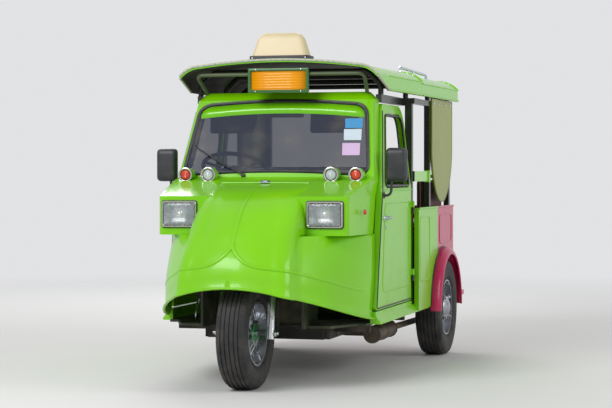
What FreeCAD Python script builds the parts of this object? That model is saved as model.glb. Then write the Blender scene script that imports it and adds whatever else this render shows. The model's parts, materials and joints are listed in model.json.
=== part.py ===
import FreeCAD, Part
import math
import os
import Sketcher

# Auto rickshaw: a three-wheeled taxi with a bulging nose, two doors hinged at their rear edges,
# a raised canopy and an open passenger cabin with two benches.
# Millimetres. +Z is up, the front faces -Y, the vehicle's left side is +X.
# The origin is on the ground, at the middle of the length and the width.

os.makedirs("parts", exist_ok=True)
doc = FreeCAD.newDocument("AutoRickshaw")
sheet = doc.addObject("Spreadsheet::Sheet", "Size")

# Columns: name of the size, its value, what it measures
SIZES = (
    ("front_axle_y", -1050, "front axle, from the middle of the length"),
    ("wheelbase", 1950, "front axle to rear axle"),
    ("rear_track", 1080, "between the middles of the rear tyres"),
    ("tyre_radius", 270, "tyre, outside"),
    ("tyre_width", 150, "tyre, across the sidewalls"),
    ("tyre_shoulder", 34, "round between tread and sidewall"),
    ("rim_radius", 158, "rim, where the tyre sits"),
    ("rim_width", 122, "rim, across its flanges"),
    ("rim_wall", 9, "rim, thickness of its band"),
    ("hub_radius", 44, "wheel hub"),
    ("spoke_radius", 3.2, "wire spoke"),
    ("disc_thickness", 10, "pressed disc of a rear wheel"),
    ("axle_radius", 11, "front axle"),
    ("fork_leg_half", 122, "fork leg, from the middle"),
    ("fork_leg_radius", 20, "fork leg, slider"),
    ("fork_tube_radius", 13, "fork leg, upper tube"),
    ("fork_rake", 12, "steering axis, degrees from upright"),
    ("crown_height", 590, "fork crown, along the steering axis from the axle's height"),
    ("stem_radius", 17, "steering stem"),
    ("stem_length", 150, "steering stem above the crown"),
    ("head_wall", 7, "wall of the steering head tube"),
    ("running_gap", 0.5, "gap between a turning part and its seat"),
    ("seat_gap", 0.3, "gap under a soft piece"),
    ("frame_bottom", 215, "underside of the chassis rails"),
    ("rail_height", 70, "chassis rail, height"),
    ("rail_width", 45, "chassis rail, width"),
    ("rail_half", 300, "chassis rail, from the middle to its centre"),
    ("floor_thickness", 12, "floor sheet"),
    ("body_wall", 9, "sheet of the nose and the cab front, with its stiffeners"),
    ("nose_front_y", -1336, "front of the nose, behind its rolled lip"),
    ("nose_bow", 34, "how far the nose bows forward across its width"),
    ("nose_low_half", 290, "nose, half width at the lip"),
    ("nose_half", 262, "nose, half width between the lamps"),
    ("ledge_height", 735, "top of the lower front, underside of the lamp boxes"),
    ("nose_top", 985, "where the nose meets the cowl"),
    ("lamp_face_y", -960, "front of the lamp boxes"),
    ("lamp_box_half", 482, "lamp boxes, half width over both"),
    ("lamp_box_top", 924, "top of the lamp boxes"),
    ("waist_half", 530, "cab, half width at the waist"),
    ("lip_peak", 500, "arch of the lip at the middle"),
    ("lip_tip", 290, "arch of the lip at its tips"),
    ("lip_half", 560, "arch of the lip, half width"),
    ("lip_band", 26, "height of the lip's rolled rim"),
    ("lip_flare", 14, "how far the rolled rim stands out"),
    ("cowl_y", -650, "cowl at the round lamps"),
    ("cowl_height", 1000, "height of the cowl at the round lamps"),
    ("screen_low_y", -568, "foot of the windscreen"),
    ("screen_low", 1018, "height of the windscreen's foot"),
    ("screen_top_y", -385, "top of the windscreen"),
    ("screen_top", 1412, "height of the windscreen's top"),
    ("screen_margin", 24, "cab sheet left around the windscreen"),
    ("screen_top_bow", 36, "rise of the windscreen's upper edge at the middle"),
    ("screen_low_bow", 22, "rise of the windscreen's lower edge at the middle"),
    ("header_half", 486, "cab, half width at the header"),
    ("header_crown", 40, "rise of the header at the middle"),
    ("glass_thickness", 6, "windscreen glass"),
    ("seal_width", 16, "rubber seal around the glass"),
    ("door_low", 357, "door, lower edge"),
    ("door_top", 1392, "door, upper edge"),
    ("door_front_low_y", -637, "door, front edge at the bottom"),
    ("door_front_waist_y", -508, "door, front edge at the waist"),
    ("door_front_top_y", -300, "door, front edge at the top"),
    ("door_rear_y", 190, "door, rear edge"),
    ("door_waist", 950, "height of the waistline"),
    ("door_face", 545, "door, outer face below the waist"),
    ("door_lean", 50, "how far the door's top leans in"),
    ("door_thickness", 30, "door"),
    ("door_gap", 6, "gap around a door"),
    ("window_margin", 45, "door frame around its window"),
    ("hinge_radius", 8, "door hinge barrel"),
    ("hinge_offset", 9, "hinge axis outside the door's face"),
    ("hinge_length", 34, "door hinge knuckle, height"),
    ("hinge_pin_radius", 4, "door hinge pin"),
    ("hinge_gap", 0.1, "gap around a hinge pin"),
    ("post_width", 38, "cabin post, square"),
    ("side_face", 577, "rear body, outer face"),
    ("side_wall", 25, "rear body side"),
    ("side_top", 847, "rear body, upper edge"),
    ("tail_y", 1215, "rear end of the body"),
    ("overall_rear_y", 1350, "rear edge of the step"),
    ("arch_gap", 40, "from the rear tyre to the opening in the body side"),
    ("sill_reach", 24, "how far the sill's lip stands out"),
    ("exhaust_gap", 38, "from the tail pipe to the rear tyre"),
    ("fender_radius", 345, "rear fender, outside"),
    ("fender_wall", 10, "rear fender sheet"),
    ("fender_face", 632, "rear fender, outer edge"),
    ("fender_round", 38, "rear fender, rounding of its outer edge"),
    ("roof_front_y", -512, "front edge of the canopy"),
    ("roof_break_y", 360, "where the front canopy ends"),
    ("roof_rear_y", 1235, "rear edge of the canopy"),
    ("roof_wall", 12, "canopy sheet"),
    ("roof_front_half", 524, "canopy, half width at the front"),
    ("roof_break_half", 568, "canopy, half width at the break"),
    ("roof_rear_half", 600, "canopy, half width at the rear"),
    ("roof_low", 1458, "canopy, lower edge of its sides"),
    ("roof_edge", 1534, "canopy, upper edge of its sides"),
    ("roof_crown", 1612, "canopy, crown"),
    ("roof_step", 10, "how much lower the rear canopy is"),
    ("shoulder_run", 110, "canopy shoulder, across"),
    ("shoulder_rise", 50, "canopy shoulder, up"),
    ("sign_low_half", 148, "roof sign, half width at the bottom"),
    ("sign_high_half", 112, "roof sign, half width at the top"),
    ("sign_height", 126, "roof sign, height above its base"),
    ("tube_radius", 14, "roof and cabin tubes"),
    ("bow_seat", 4, "how far a bow is let into the canopy's underside"),
    ("rail_tube_radius", 9, "roof rail tube"),
    ("tow_bore_radius", 11, "hole of the tow eye"),
    ("tow_plate", 14, "tow eye plate"),
    ("plate_hole_radius", 3.5, "holes of the number plate"),
    ("plate_hole_spacing", 110, "between the holes of the number plate"),
)

for row, (alias, value, meaning) in enumerate(SIZES, start=1):
    sheet.set(f"A{row}", str(value))
    sheet.setAlias(f"A{row}", alias)
    sheet.set(f"B{row}", meaning)
doc.recompute()


class SheetValues:
    """Reads a size from the sheet by its name."""

    def __getattr__(self, alias):
        return float(sheet.get(alias))


S = SheetValues()
nodes = {}

# Places that follow from the driving sizes
REAR_AXLE_Y = S.front_axle_y + S.wheelbase
FLOOR_BOTTOM = S.frame_bottom + S.rail_height
FLOOR_TOP = FLOOR_BOTTOM + S.floor_thickness
AXLE_HEIGHT = S.tyre_radius


def vec(x, y, z):
    return FreeCAD.Vector(x, y, z)


def keep(label, item):
    """Registers an object as a sub-part of the vehicle under its own name."""
    item.Label = label
    nodes[label] = item
    return item


def feature(label, shape):
    """A sub-part whose curved shape is worked out from the sheet."""
    item = doc.addObject("Part::Feature", label)
    item.Shape = shape
    return keep(label, item)


def place(item, x, y, z):
    """Binds an object's place to the sheet."""
    item.setExpression("Placement.Base.x", x)
    item.setExpression("Placement.Base.y", y)
    item.setExpression("Placement.Base.z", z)


def block(name, length, width, height, x, y, z):
    """A block from expressions: x and y are its middle, z its underside."""
    item = doc.addObject("Part::Box", name)
    item.setExpression("Length", length)
    item.setExpression("Width", width)
    item.setExpression("Height", height)
    place(item, f"{x} - ({length}) / 2", f"{y} - ({width}) / 2", z)
    return item


def fuse(label, items):
    """Joins touching pieces into one sub-part."""
    item = doc.addObject("Part::MultiFuse", label)
    item.Shapes = items
    return item


def origin_plane(body, role):
    return next(plane for plane in body.Origin.OriginFeatures if plane.Role == role)


def rectangle(body, name, role, width, height, low=None):
    """A sketched rectangle, centred across; its lower side is at low, or it is centred both ways."""
    sketch = body.newObject("Sketcher::SketchObject", name)
    sketch.AttachmentSupport = (origin_plane(body, role), "")
    sketch.MapMode = "FlatFace"
    corners = (vec(-10, 20, 0), vec(10, 20, 0), vec(10, 40, 0), vec(-10, 40, 0))
    for start, end in zip(corners, corners[1:] + corners[:1]):
        sketch.addGeometry(Part.LineSegment(start, end), False)
    for line in range(4):
        sketch.addConstraint(Sketcher.Constraint("Coincident", line, 2, (line + 1) % 4, 1))
    sketch.addConstraint(Sketcher.Constraint("Vertical", 1))
    sketch.addConstraint(Sketcher.Constraint("Vertical", 3))
    sketch.addConstraint(Sketcher.Constraint("Horizontal", 2))
    if low:
        sketch.addConstraint(Sketcher.Constraint("Symmetric", 0, 1, 0, 2, -2))
        base = sketch.addConstraint(Sketcher.Constraint("DistanceY", -1, 1, 0, 1, 20))
        sketch.setExpression(f"Constraints[{base}]", low)
    else:
        sketch.addConstraint(Sketcher.Constraint("Horizontal", 0))
        sketch.addConstraint(Sketcher.Constraint("Symmetric", 0, 1, 1, 2, -1, 1))
    across = sketch.addConstraint(Sketcher.Constraint("DistanceX", 0, 1, 0, 2, 20))
    up = sketch.addConstraint(Sketcher.Constraint("DistanceY", 1, 1, 1, 2, 20))
    sketch.setExpression(f"Constraints[{across}]", width)
    sketch.setExpression(f"Constraints[{up}]", height)
    return sketch


def edges_of_circle(shape, radius):
    """Names of the full circles of one radius, for a fillet."""
    names = []
    for number, edge in enumerate(shape.Edges, start=1):
        if isinstance(edge.Curve, Part.Circle) and abs(edge.Curve.Radius - radius) < 0.01:
            names.append(f"Edge{number}")
    return names


def ring(name, outer, inner, width, x, y, z, round_off=None):
    """A turned ring about a cross axis, with round outer edges where asked."""
    body = doc.addObject("PartDesign::Body", name)
    sketch = rectangle(body, f"{name}_section", "XY_Plane", width, f"{outer} - ({inner})", inner)
    turned = body.newObject("PartDesign::Revolution", f"{name}_turned")
    turned.Profile = sketch
    turned.ReferenceAxis = (sketch, ["H_Axis"])
    turned.Angle = 360
    doc.recompute()
    if round_off:
        rounded = body.newObject("PartDesign::Fillet", f"{name}_rounded")
        outside = max(e.Curve.Radius for e in turned.Shape.Edges if isinstance(e.Curve, Part.Circle))
        rounded.Base = (turned, edges_of_circle(turned.Shape, outside))
        rounded.setExpression("Radius", round_off)
        doc.recompute()
    place(body, x, y, z)
    return body


def slab(name, width, depth, height, x, y, z, corner=None):
    """A padded rectangle, x and y its middle and z its underside, with round upright edges where asked."""
    body = doc.addObject("PartDesign::Body", name)
    sketch = rectangle(body, f"{name}_outline", "XY_Plane", width, depth)
    pad = body.newObject("PartDesign::Pad", f"{name}_pad")
    pad.Profile = sketch
    pad.setExpression("Length", height)
    doc.recompute()
    if corner:
        rounded = body.newObject("PartDesign::Fillet", f"{name}_corners")
        upright = []
        for number, edge in enumerate(pad.Shape.Edges, start=1):
            if abs(edge.tangentAt(edge.FirstParameter).z) > 0.99:
                upright.append(f"Edge{number}")
        rounded.Base = (pad, upright)
        rounded.setExpression("Radius", corner)
        doc.recompute()
    place(body, x, y, z)
    return body


def bent_path(points, bend):
    """Straight runs joined by tangent arcs."""
    edges = []
    start = points[0]
    for before, corner, after in zip(points, points[1:], points[2:]):
        to_before = (before - corner).normalize()
        to_after = (after - corner).normalize()
        half = to_before.getAngle(to_after) / 2
        reach = bend / math.tan(half)
        first = corner + to_before * reach
        last = corner + to_after * reach
        inward = (to_before + to_after).normalize()
        middle = corner + inward * (bend / math.sin(half) - bend)
        edges.append(Part.makeLine(start, first))
        edges.append(Part.Arc(first, middle, last).toShape())
        start = last
    edges.append(Part.makeLine(start, points[-1]))
    return Part.Wire(edges)


def pipe(points, radius, bend):
    """A round bar or tube bent along points."""
    path = bent_path(points, bend)
    circle = Part.Wire(Part.makeCircle(radius, points[0], points[1] - points[0]))
    return path.makePipeShell([circle], True, False)


def bar(start, end, radius):
    """A straight round bar between two points."""
    return Part.makeCylinder(radius, start.distanceToPoint(end), start, end - start)


def prism(points, direction):
    """A closed flat outline pushed along a direction."""
    outline = Part.makePolygon(points + points[:1])
    return Part.Face(outline).extrude(direction)


def across(outline, half):
    """A side view outline of (y, z) points, pushed through the whole width from -half to half."""
    return prism([vec(-half, y, z) for y, z in outline], vec(2 * half, 0, 0))


def mirror(shape):
    """The same shape on the other side of the vehicle."""
    return shape.mirror(vec(0, 0, 0), vec(1, 0, 0))


def both(shape):
    """One shape and its mirror image, as two solids of one sub-part."""
    return Part.makeCompound([shape, mirror(shape)])


def rounded_outline(points, radii):
    """A closed flat outline with an arc of its own radius at each corner."""
    edges = []
    count = len(points)
    ends = []
    for number, corner in enumerate(points):
        to_before = (points[number - 1] - corner).normalize()
        to_after = (points[(number + 1) % count] - corner).normalize()
        half = to_before.getAngle(to_after) / 2
        reach = radii[number] / math.tan(half)
        first = corner + to_before * reach
        last = corner + to_after * reach
        inward = (to_before + to_after).normalize()
        middle = corner + inward * (radii[number] / math.sin(half) - radii[number])
        edges.append(Part.Arc(first, middle, last).toShape())
        ends.append((first, last))
    straight = []
    for number in range(count):
        straight.append(Part.makeLine(ends[number][1], ends[(number + 1) % count][0]))
    ordered = []
    for number in range(count):
        ordered.append(edges[number])
        ordered.append(straight[number])
    return Part.Wire(ordered)


def plan_outline(z, front_y, front_half, corner, bow, back_y, back_half, side_bow):
    """An outline seen from above: bowed front, round corners, bowed sides and a straight back."""
    quarter = corner * (1 - math.sqrt(0.5))
    run = vec(back_half - front_half, back_y - front_y - corner, 0)
    outward = vec(run.y, -run.x, 0).normalize() * side_bow
    right = []
    right.append(vec(front_half - corner, front_y, z))
    right.append(vec(front_half - quarter, front_y + quarter, z))
    right.append(vec(front_half, front_y + corner, z))
    right.append(right[2] + run * 0.5 + outward)
    right.append(vec(back_half, back_y, z))
    left = [vec(-point.x, point.y, z) for point in right]
    edges = [
        Part.Arc(left[0], vec(0, front_y - bow, z), right[0]).toShape(),
        Part.Arc(right[0], right[1], right[2]).toShape(),
        Part.Arc(right[2], right[3], right[4]).toShape(),
        Part.makeLine(right[4], left[4]),
        Part.Arc(left[4], left[3], left[2]).toShape(),
        Part.Arc(left[2], left[1], left[0]).toShape(),
    ]
    return Part.Wire(edges)


def stack(sections, inset, drop):
    """A loft through plan outlines; inset draws its walls in and drop lowers all but the lowest."""
    outlines = []
    for number, (z, front_y, front_half, corner, bow, back_y, back_half, side_bow) in enumerate(sections):
        height = z - drop if number else z
        outlines.append(plan_outline(
            height, front_y + inset, front_half - inset, max(corner - inset, 4), bow,
            back_y, back_half - inset, side_bow,
        ))
    return Part.makeLoft(outlines, True, True)


BACK_Y = S.door_front_top_y + 60
TUB_BACK_Y = S.door_front_low_y + 160
NOSE_BACK_Y = S.cowl_y - 50
HEADER_TOP = S.screen_top + S.header_crown
TUB_SHOULDER = (S.lip_peak + S.ledge_height) / 2 + 2.5


def nose_height(share):
    """The height at a share of the nose's rise above the ledge."""
    return S.ledge_height + (S.nose_top - S.ledge_height) * share


# Columns: height, front, half width at the front, corner radius, bow of the front,
# back, half width at the back, bow of the sides
TUB_SECTIONS = (
    (S.lip_tip - 70, S.nose_front_y + S.nose_bow, S.nose_low_half, 80, S.nose_bow, TUB_BACK_Y, 540, 60),
    (S.lip_peak, S.nose_front_y + S.nose_bow, S.nose_low_half, 80, S.nose_bow, TUB_BACK_Y, 540, 60),
    (TUB_SHOULDER, S.nose_front_y + 66, 284, 95, 40, TUB_BACK_Y, 538, 55),
    (S.ledge_height, S.nose_front_y + 142, 272, 105, 44, TUB_BACK_Y, 535, 50),
)
NOSE_SECTIONS = (
    (S.ledge_height - 5, S.nose_front_y + 142, 272, 105, 44, NOSE_BACK_Y, S.nose_half, 6),
    (nose_height(0.26), S.nose_front_y + 200, 268, 105, 44, NOSE_BACK_Y, S.nose_half, 6),
    (nose_height(0.508), S.nose_front_y + 264, 260, 100, 40, NOSE_BACK_Y, S.nose_half - 4, 6),
    (nose_height(0.72), S.nose_front_y + 350, 252, 85, 32, NOSE_BACK_Y, S.nose_half - 8, 5),
    (nose_height(0.884), S.nose_front_y + 464, 245, 60, 22, NOSE_BACK_Y, S.nose_half - 14, 4),
    (S.nose_top, S.nose_front_y + 606, 238, 12, 6, NOSE_BACK_Y, S.nose_half - 20, 2),
)
CAB_SECTIONS = (
    (S.ledge_height, S.lamp_face_y, S.lamp_box_half, 36, 3, BACK_Y, S.waist_half, 4),
    (S.lamp_box_top, S.lamp_face_y, S.lamp_box_half, 36, 3, BACK_Y, S.waist_half, 4),
    (S.cowl_height, S.cowl_y, S.waist_half - 14, 40, 8, BACK_Y, S.waist_half, 3),
    (S.screen_low, S.screen_low_y, S.waist_half - 12, 40, 8, BACK_Y, S.waist_half - 6, 2),
    (S.screen_top, S.screen_top_y, S.header_half - 14, 40, 8, BACK_Y, S.header_half, 2),
    (HEADER_TOP, S.screen_top_y + 40, S.header_half - 50, 36, 6, BACK_Y, S.header_half - 40, 2),
)

tub_outer = stack(TUB_SECTIONS, 0, 0)
tub_inner = stack(TUB_SECTIONS, S.body_wall, S.body_wall)
nose_outer = stack(NOSE_SECTIONS, 0, 0)
nose_inner = stack(NOSE_SECTIONS, S.body_wall, S.body_wall)
cab_outer = stack(CAB_SECTIONS, 0, 0)
cab_inner = stack(CAB_SECTIONS, S.body_wall, S.body_wall)

# Everything behind the doors' front edges, with the gap in front of the door
behind_doors = across(
    [
        (S.door_front_low_y - S.door_gap, 0),
        (S.door_front_low_y - S.door_gap, S.door_low),
        (S.door_front_waist_y - S.door_gap, S.door_waist),
        (S.door_front_top_y - S.door_gap, S.door_top),
        (S.door_front_top_y - S.door_gap, 2000),
        (1000, 2000),
        (1000, 0),
    ],
    900,
)


def arch(raise_by):
    """All that lies under the lip's arch, raised by a little for its rolled rim."""
    left = vec(-S.lip_half, -2000, S.lip_tip + raise_by)
    right = vec(S.lip_half, -2000, S.lip_tip + raise_by)
    curve = Part.Arc(left, vec(0, -2000, S.lip_peak + raise_by), right).toShape()
    far = 900
    edges = [
        curve,
        Part.makeLine(right, vec(far, -2000, S.lip_tip + raise_by)),
        Part.makeLine(vec(far, -2000, S.lip_tip + raise_by), vec(far, -2000, 0)),
        Part.makeLine(vec(far, -2000, 0), vec(-far, -2000, 0)),
        Part.makeLine(vec(-far, -2000, 0), vec(-far, -2000, S.lip_tip + raise_by)),
        Part.makeLine(vec(-far, -2000, S.lip_tip + raise_by), left),
    ]
    return Part.Face(Part.Wire(edges)).extrude(vec(0, 2600, 0))


def tub_room():
    """The space inside the lower front, carried up through the underside of the lamp boxes."""
    z, front_y, front_half, corner, bow, back_y, back_half, side_bow = TUB_SECTIONS[-1]
    inset = S.body_wall
    outline = plan_outline(
        z - 40, front_y + inset, front_half - inset, corner - inset, bow,
        back_y, back_half - inset, side_bow,
    )
    return Part.Face(outline).extrude(vec(0, 0, 80))


def nose_shell():
    """The bulging nose and lower front as one sheet, open below and behind."""
    below_boxes = Part.makeBox(1200, 900, 200, vec(-600, S.lamp_face_y + S.body_wall, S.ledge_height - 135))
    cavity = tub_room().common(below_boxes)
    walls = tub_outer.fuse(nose_outer).cut(tub_inner).cut(nose_inner).cut(cavity)
    walls = walls.cut(Part.makeBox(1200, 900, 400, vec(-600, TUB_BACK_Y - 160, S.ledge_height)))
    rim = stack(TUB_SECTIONS, -S.lip_flare, 0).cut(tub_inner)
    rim = rim.common(arch(S.lip_band))
    shell = walls.fuse(rim).cut(arch(0)).cut(behind_doors)
    return shell.cut(cab_outer).removeSplitter()


SCREEN_SLOPE = vec(0, S.screen_top_y - S.screen_low_y, S.screen_top - S.screen_low).normalize()
SCREEN_OUT = vec(0, -SCREEN_SLOPE.z, SCREEN_SLOPE.y)
SCREEN_FOOT = vec(0, S.screen_low_y, S.screen_low)
SCREEN_RISE = math.hypot(S.screen_top_y - S.screen_low_y, S.screen_top - S.screen_low)


def bowed_radius(half, bow):
    """The rounding that turns the peak of a shallow bow into a curve over most of its width."""
    return 0.6 * half / math.tan(math.atan(bow / half))


def screen_plate(inset, back, front):
    """The windscreen's rounded outline, drawn in by inset, as a plate from back to front of the sheet."""
    low = S.body_wall / 2 + inset
    high = SCREEN_RISE - S.screen_margin - inset
    low_half = S.waist_half - 12 - S.screen_margin - inset
    high_half = S.header_half - 14 - S.screen_margin - inset
    top_round = bowed_radius(high_half, S.screen_top_bow)
    low_round = bowed_radius(low_half, S.screen_low_bow)
    # Columns: distance from the middle, rise on the screen, rounding
    places = (
        (low_half, low, 60 - inset),
        (high_half, high, 85 - inset),
        (0, high + S.screen_top_bow, top_round),
        (-high_half, high, 85 - inset),
        (-low_half, low, 60 - inset),
        (0, low + S.screen_low_bow, low_round),
    )
    corners = [SCREEN_FOOT + vec(x, 0, 0) + SCREEN_SLOPE * rise + SCREEN_OUT * back for x, rise, _ in places]
    outline = rounded_outline(corners, [rounding for _, _, rounding in places])
    return Part.Face(outline).extrude(SCREEN_OUT * (front - back))


def cab_shell():
    """Lamp boxes, cowl, windscreen pillars and header as one sheet with the windscreen cut out."""
    shell = cab_outer.cut(cab_inner)
    shell = shell.cut(screen_plate(0, -80, 80))
    shell = shell.cut(behind_doors)
    ledge = Part.makeBox(1200, 800, S.body_wall, vec(-600, S.lamp_face_y - 20, S.ledge_height))
    plate = cab_outer.common(ledge)
    shell = shell.fuse(plate.cut(tub_room()).cut(behind_doors))
    return shell.cut(nose_inner).removeSplitter()


feature("nose_shell", nose_shell())
feature("cab_shell", cab_shell())
feature("windscreen_seal", screen_plate(0, -12, 10).cut(screen_plate(S.seal_width, -20, 20)))
feature("windscreen_glass", screen_plate(S.seal_width, -S.glass_thickness / 2, S.glass_thickness / 2))


# Doors
DOOR_REAR = S.door_rear_y - S.door_gap


def door_section():
    """The door seen from the front: upright to the waist, then leaning in."""
    face = S.door_face
    wall = S.door_thickness
    return prism(
        [
            vec(face - wall, -900, S.door_low),
            vec(face, -900, S.door_low),
            vec(face, -900, S.door_waist),
            vec(face - S.door_lean, -900, S.door_top),
            vec(face - S.door_lean - wall, -900, S.door_top),
            vec(face - wall, -900, S.door_waist),
        ],
        vec(0, 1400, 0),
    )


def side_plate(outline, radii):
    """A side view outline of (y, z) corners, pushed through the left side."""
    corners = [vec(300, y, z) for y, z in outline]
    return Part.Face(rounded_outline(corners, radii)).extrude(vec(400, 0, 0))


def door():
    outline = side_plate(
        [
            (S.door_front_low_y, S.door_low),
            (DOOR_REAR, S.door_low),
            (DOOR_REAR, S.door_top),
            (S.door_front_top_y, S.door_top),
            (S.door_front_waist_y, S.door_waist),
        ],
        [15, 15, 110, 40, 120],
    )
    margin = S.window_margin
    slope = (S.door_front_top_y - S.door_front_waist_y) / (S.door_top - S.door_waist)
    window_low = S.door_waist + 10
    window_top = S.door_top - margin
    window = side_plate(
        [
            (S.door_front_waist_y + margin + slope * 10 + 30, window_low),
            (DOOR_REAR - margin, window_low),
            (DOOR_REAR - margin, window_top),
            (S.door_front_top_y + margin, window_top),
        ],
        [25, 25, 80, 35],
    )
    return door_section().common(outline).cut(window).multiFuse(door_knuckles())


HINGE_X = S.door_face + S.hinge_offset
HINGE_HEIGHTS = (S.door_low + 100, S.door_waist - 130)


def post_knuckles():
    """The post's half of each hinge: a knuckle with a leaf on the post and an upright pin."""
    pieces = []
    for height in HINGE_HEIGHTS:
        low = vec(HINGE_X, S.door_rear_y, height)
        knuckle = Part.makeCylinder(S.hinge_radius, S.hinge_length, low)
        pin = Part.makeCylinder(S.hinge_pin_radius, 2 * S.hinge_length, low)
        leaf = Part.makeBox(4, 34, S.hinge_length, vec(S.door_face, S.door_rear_y, height))
        pieces.append(knuckle.multiFuse([pin, leaf]))
    return pieces


def door_knuckles():
    """The door's half of each hinge: a bored knuckle over the pin with a leaf on the door's face."""
    pieces = []
    for height in HINGE_HEIGHTS:
        low = vec(HINGE_X, S.door_rear_y, height + S.hinge_length + S.running_gap)
        knuckle = Part.makeCylinder(S.hinge_radius, S.hinge_length - 2, low)
        leaf = Part.makeBox(4, 44, S.hinge_length - 2, vec(S.door_face, S.door_rear_y - 44, low.z))
        hole = Part.makeCylinder(S.hinge_pin_radius + S.hinge_gap, S.hinge_length, low)
        pieces.append(knuckle.fuse(leaf).cut(hole))
    return pieces


def mirror_arm_and_case():
    case = Part.makeBox(112, 44, 174, vec(S.door_face + 8, -492, 992))
    case = case.makeFillet(14, case.Edges)
    foot = vec(S.door_face - 1, -470, 925)
    arm = pipe([foot, foot + vec(35, 0, 0), foot + vec(41, 0, 75)], 7, 12)
    return case.fuse(arm).cut(door_section())


def door_handle():
    """A lever handle on two feet, near the door's front edge."""
    face = S.door_face
    lever = Part.makeBox(12, 96, 18, vec(face + 14, S.door_front_low_y + 158, 802))
    lever = lever.makeFillet(5, lever.Edges)
    feet = []
    for y in (S.door_front_low_y + 166, S.door_front_low_y + 232):
        feet.append(Part.makeBox(18, 14, 12, vec(face, y, 805)))
    return lever.multiFuse(feet).cut(door_section())


LEFT_PARTS = {
    "door": door(),
    "door_fittings": Part.makeCompound([mirror_arm_and_case(), door_handle()]),
}
for piece, shape in LEFT_PARTS.items():
    feature(f"{piece}_left", shape)
    feature(f"{piece}_right", mirror(shape))


# Canopy
def canopy_outline(y, half, lower_by):
    """The canopy's section at y: upright sides, round shoulders and a crowned top, all one sheet thick."""
    wall = S.roof_wall
    low = S.roof_low
    edge = S.roof_edge - lower_by
    top = edge + S.shoulder_rise
    crown = S.roof_crown - lower_by
    bulge = 10

    def chain(inset):
        side = half - inset
        inner_top = half - S.shoulder_run
        right = [vec(side, y, low), vec(side, y, edge - inset / 2)]
        right.append(vec((side + inner_top) / 2 + bulge, y, (edge + top) / 2 + bulge - inset))
        right.append(vec(inner_top, y, top - inset))
        left = [vec(-point.x, y, point.z) for point in right]
        return right, vec(0, y, crown - inset), left

    right, crest, left = chain(0)
    inner_right, inner_crest, inner_left = chain(wall)
    edges = [
        Part.makeLine(right[0], right[1]),
        Part.Arc(right[1], right[2], right[3]).toShape(),
        Part.Arc(right[3], crest, left[3]).toShape(),
        Part.Arc(left[3], left[2], left[1]).toShape(),
        Part.makeLine(left[1], left[0]),
        Part.makeLine(left[0], inner_left[0]),
        Part.makeLine(inner_left[0], inner_left[1]),
        Part.Arc(inner_left[1], inner_left[2], inner_left[3]).toShape(),
        Part.Arc(inner_left[3], inner_crest, inner_right[3]).toShape(),
        Part.Arc(inner_right[3], inner_right[2], inner_right[1]).toShape(),
        Part.makeLine(inner_right[1], inner_right[0]),
        Part.makeLine(inner_right[0], right[0]),
    ]
    return Part.Wire(edges)


def canopy_half(y):
    """Half width of the canopy at y."""
    if y < S.roof_break_y:
        share = (y - S.roof_front_y) / (S.roof_break_y - S.roof_front_y)
        return S.roof_front_half + share * (S.roof_break_half - S.roof_front_half)
    share = (y - S.roof_break_y) / (S.roof_rear_y - S.roof_break_y)
    return S.roof_break_half + share * (S.roof_rear_half - S.roof_break_half)


def canopy_part(front, rear, lower_by):
    sections = [canopy_outline(y, canopy_half(y), lower_by) for y in (front, rear)]
    return Part.makeLoft(sections, True, True)


PEAK_REAR_Y = S.door_front_top_y + 6
canopy_front = canopy_part(S.roof_front_y, S.roof_break_y, 0)
peak_cut = across(
    [
        (S.roof_front_y - 20, S.roof_low - 50),
        (S.roof_front_y - 20, S.roof_edge - 8),
        (S.roof_front_y, S.roof_edge - 8),
        (PEAK_REAR_Y, S.roof_low),
        (PEAK_REAR_Y, S.roof_low - 50),
    ],
    700,
)
canopy_front = canopy_front.cut(peak_cut)
canopy_rear = canopy_part(S.roof_break_y, S.roof_rear_y, S.roof_step)
feature("canopy_front", canopy_front)
feature("canopy_rear", canopy_rear)

RAIL_TOP = S.door_top + 48
RAIL_LOW = S.door_top + 8
DOOR_RAIL_X = S.door_face - S.door_lean - S.door_thickness / 2
REAR_RAIL_X = S.side_face - 32
BOW_PLACES = (
    # Columns: y, distance of the bow's feet from the middle, how much lower it is
    (S.door_front_top_y + 20, DOOR_RAIL_X + 5, 0),
    (S.door_rear_y + 24, S.door_face - 38, 0),
    (REAR_AXLE_Y - 290, REAR_RAIL_X, S.roof_step),
    (S.tail_y - 35, REAR_RAIL_X, S.roof_step),
)


def roof_bows():
    """Bent tubes that carry the canopy on the cabin's top rails, and the hoop under its peak."""
    bows = []
    for y, foot, lower_by in BOW_PLACES:
        top = S.roof_edge + S.shoulder_rise - S.roof_wall - S.tube_radius - lower_by + S.bow_seat
        turn = canopy_half(y) - S.shoulder_run - 14
        knee = S.roof_edge - 42 - lower_by
        points = [vec(-foot, y, RAIL_TOP), vec(-foot, y, knee), vec(-turn, y, top)]
        points += [vec(-p.x, y, p.z) for p in reversed(points)]
        bows.append(pipe(points, S.tube_radius, 40).cut(canopy_front).cut(canopy_rear))
    front = S.roof_front_y + 38
    hoop_top = S.roof_edge + 6
    foot = S.header_half - 60
    points = [vec(-foot, S.screen_top_y + 60, RAIL_TOP), vec(-foot - 18, front, hoop_top)]
    points += [vec(-p.x, p.y, p.z) for p in reversed(points)]
    bows.append(pipe(points, S.tube_radius - 4, 30).cut(cab_outer))
    return Part.makeCompound(bows)


bows = roof_bows()
feature("canopy_bows", bows)


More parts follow.
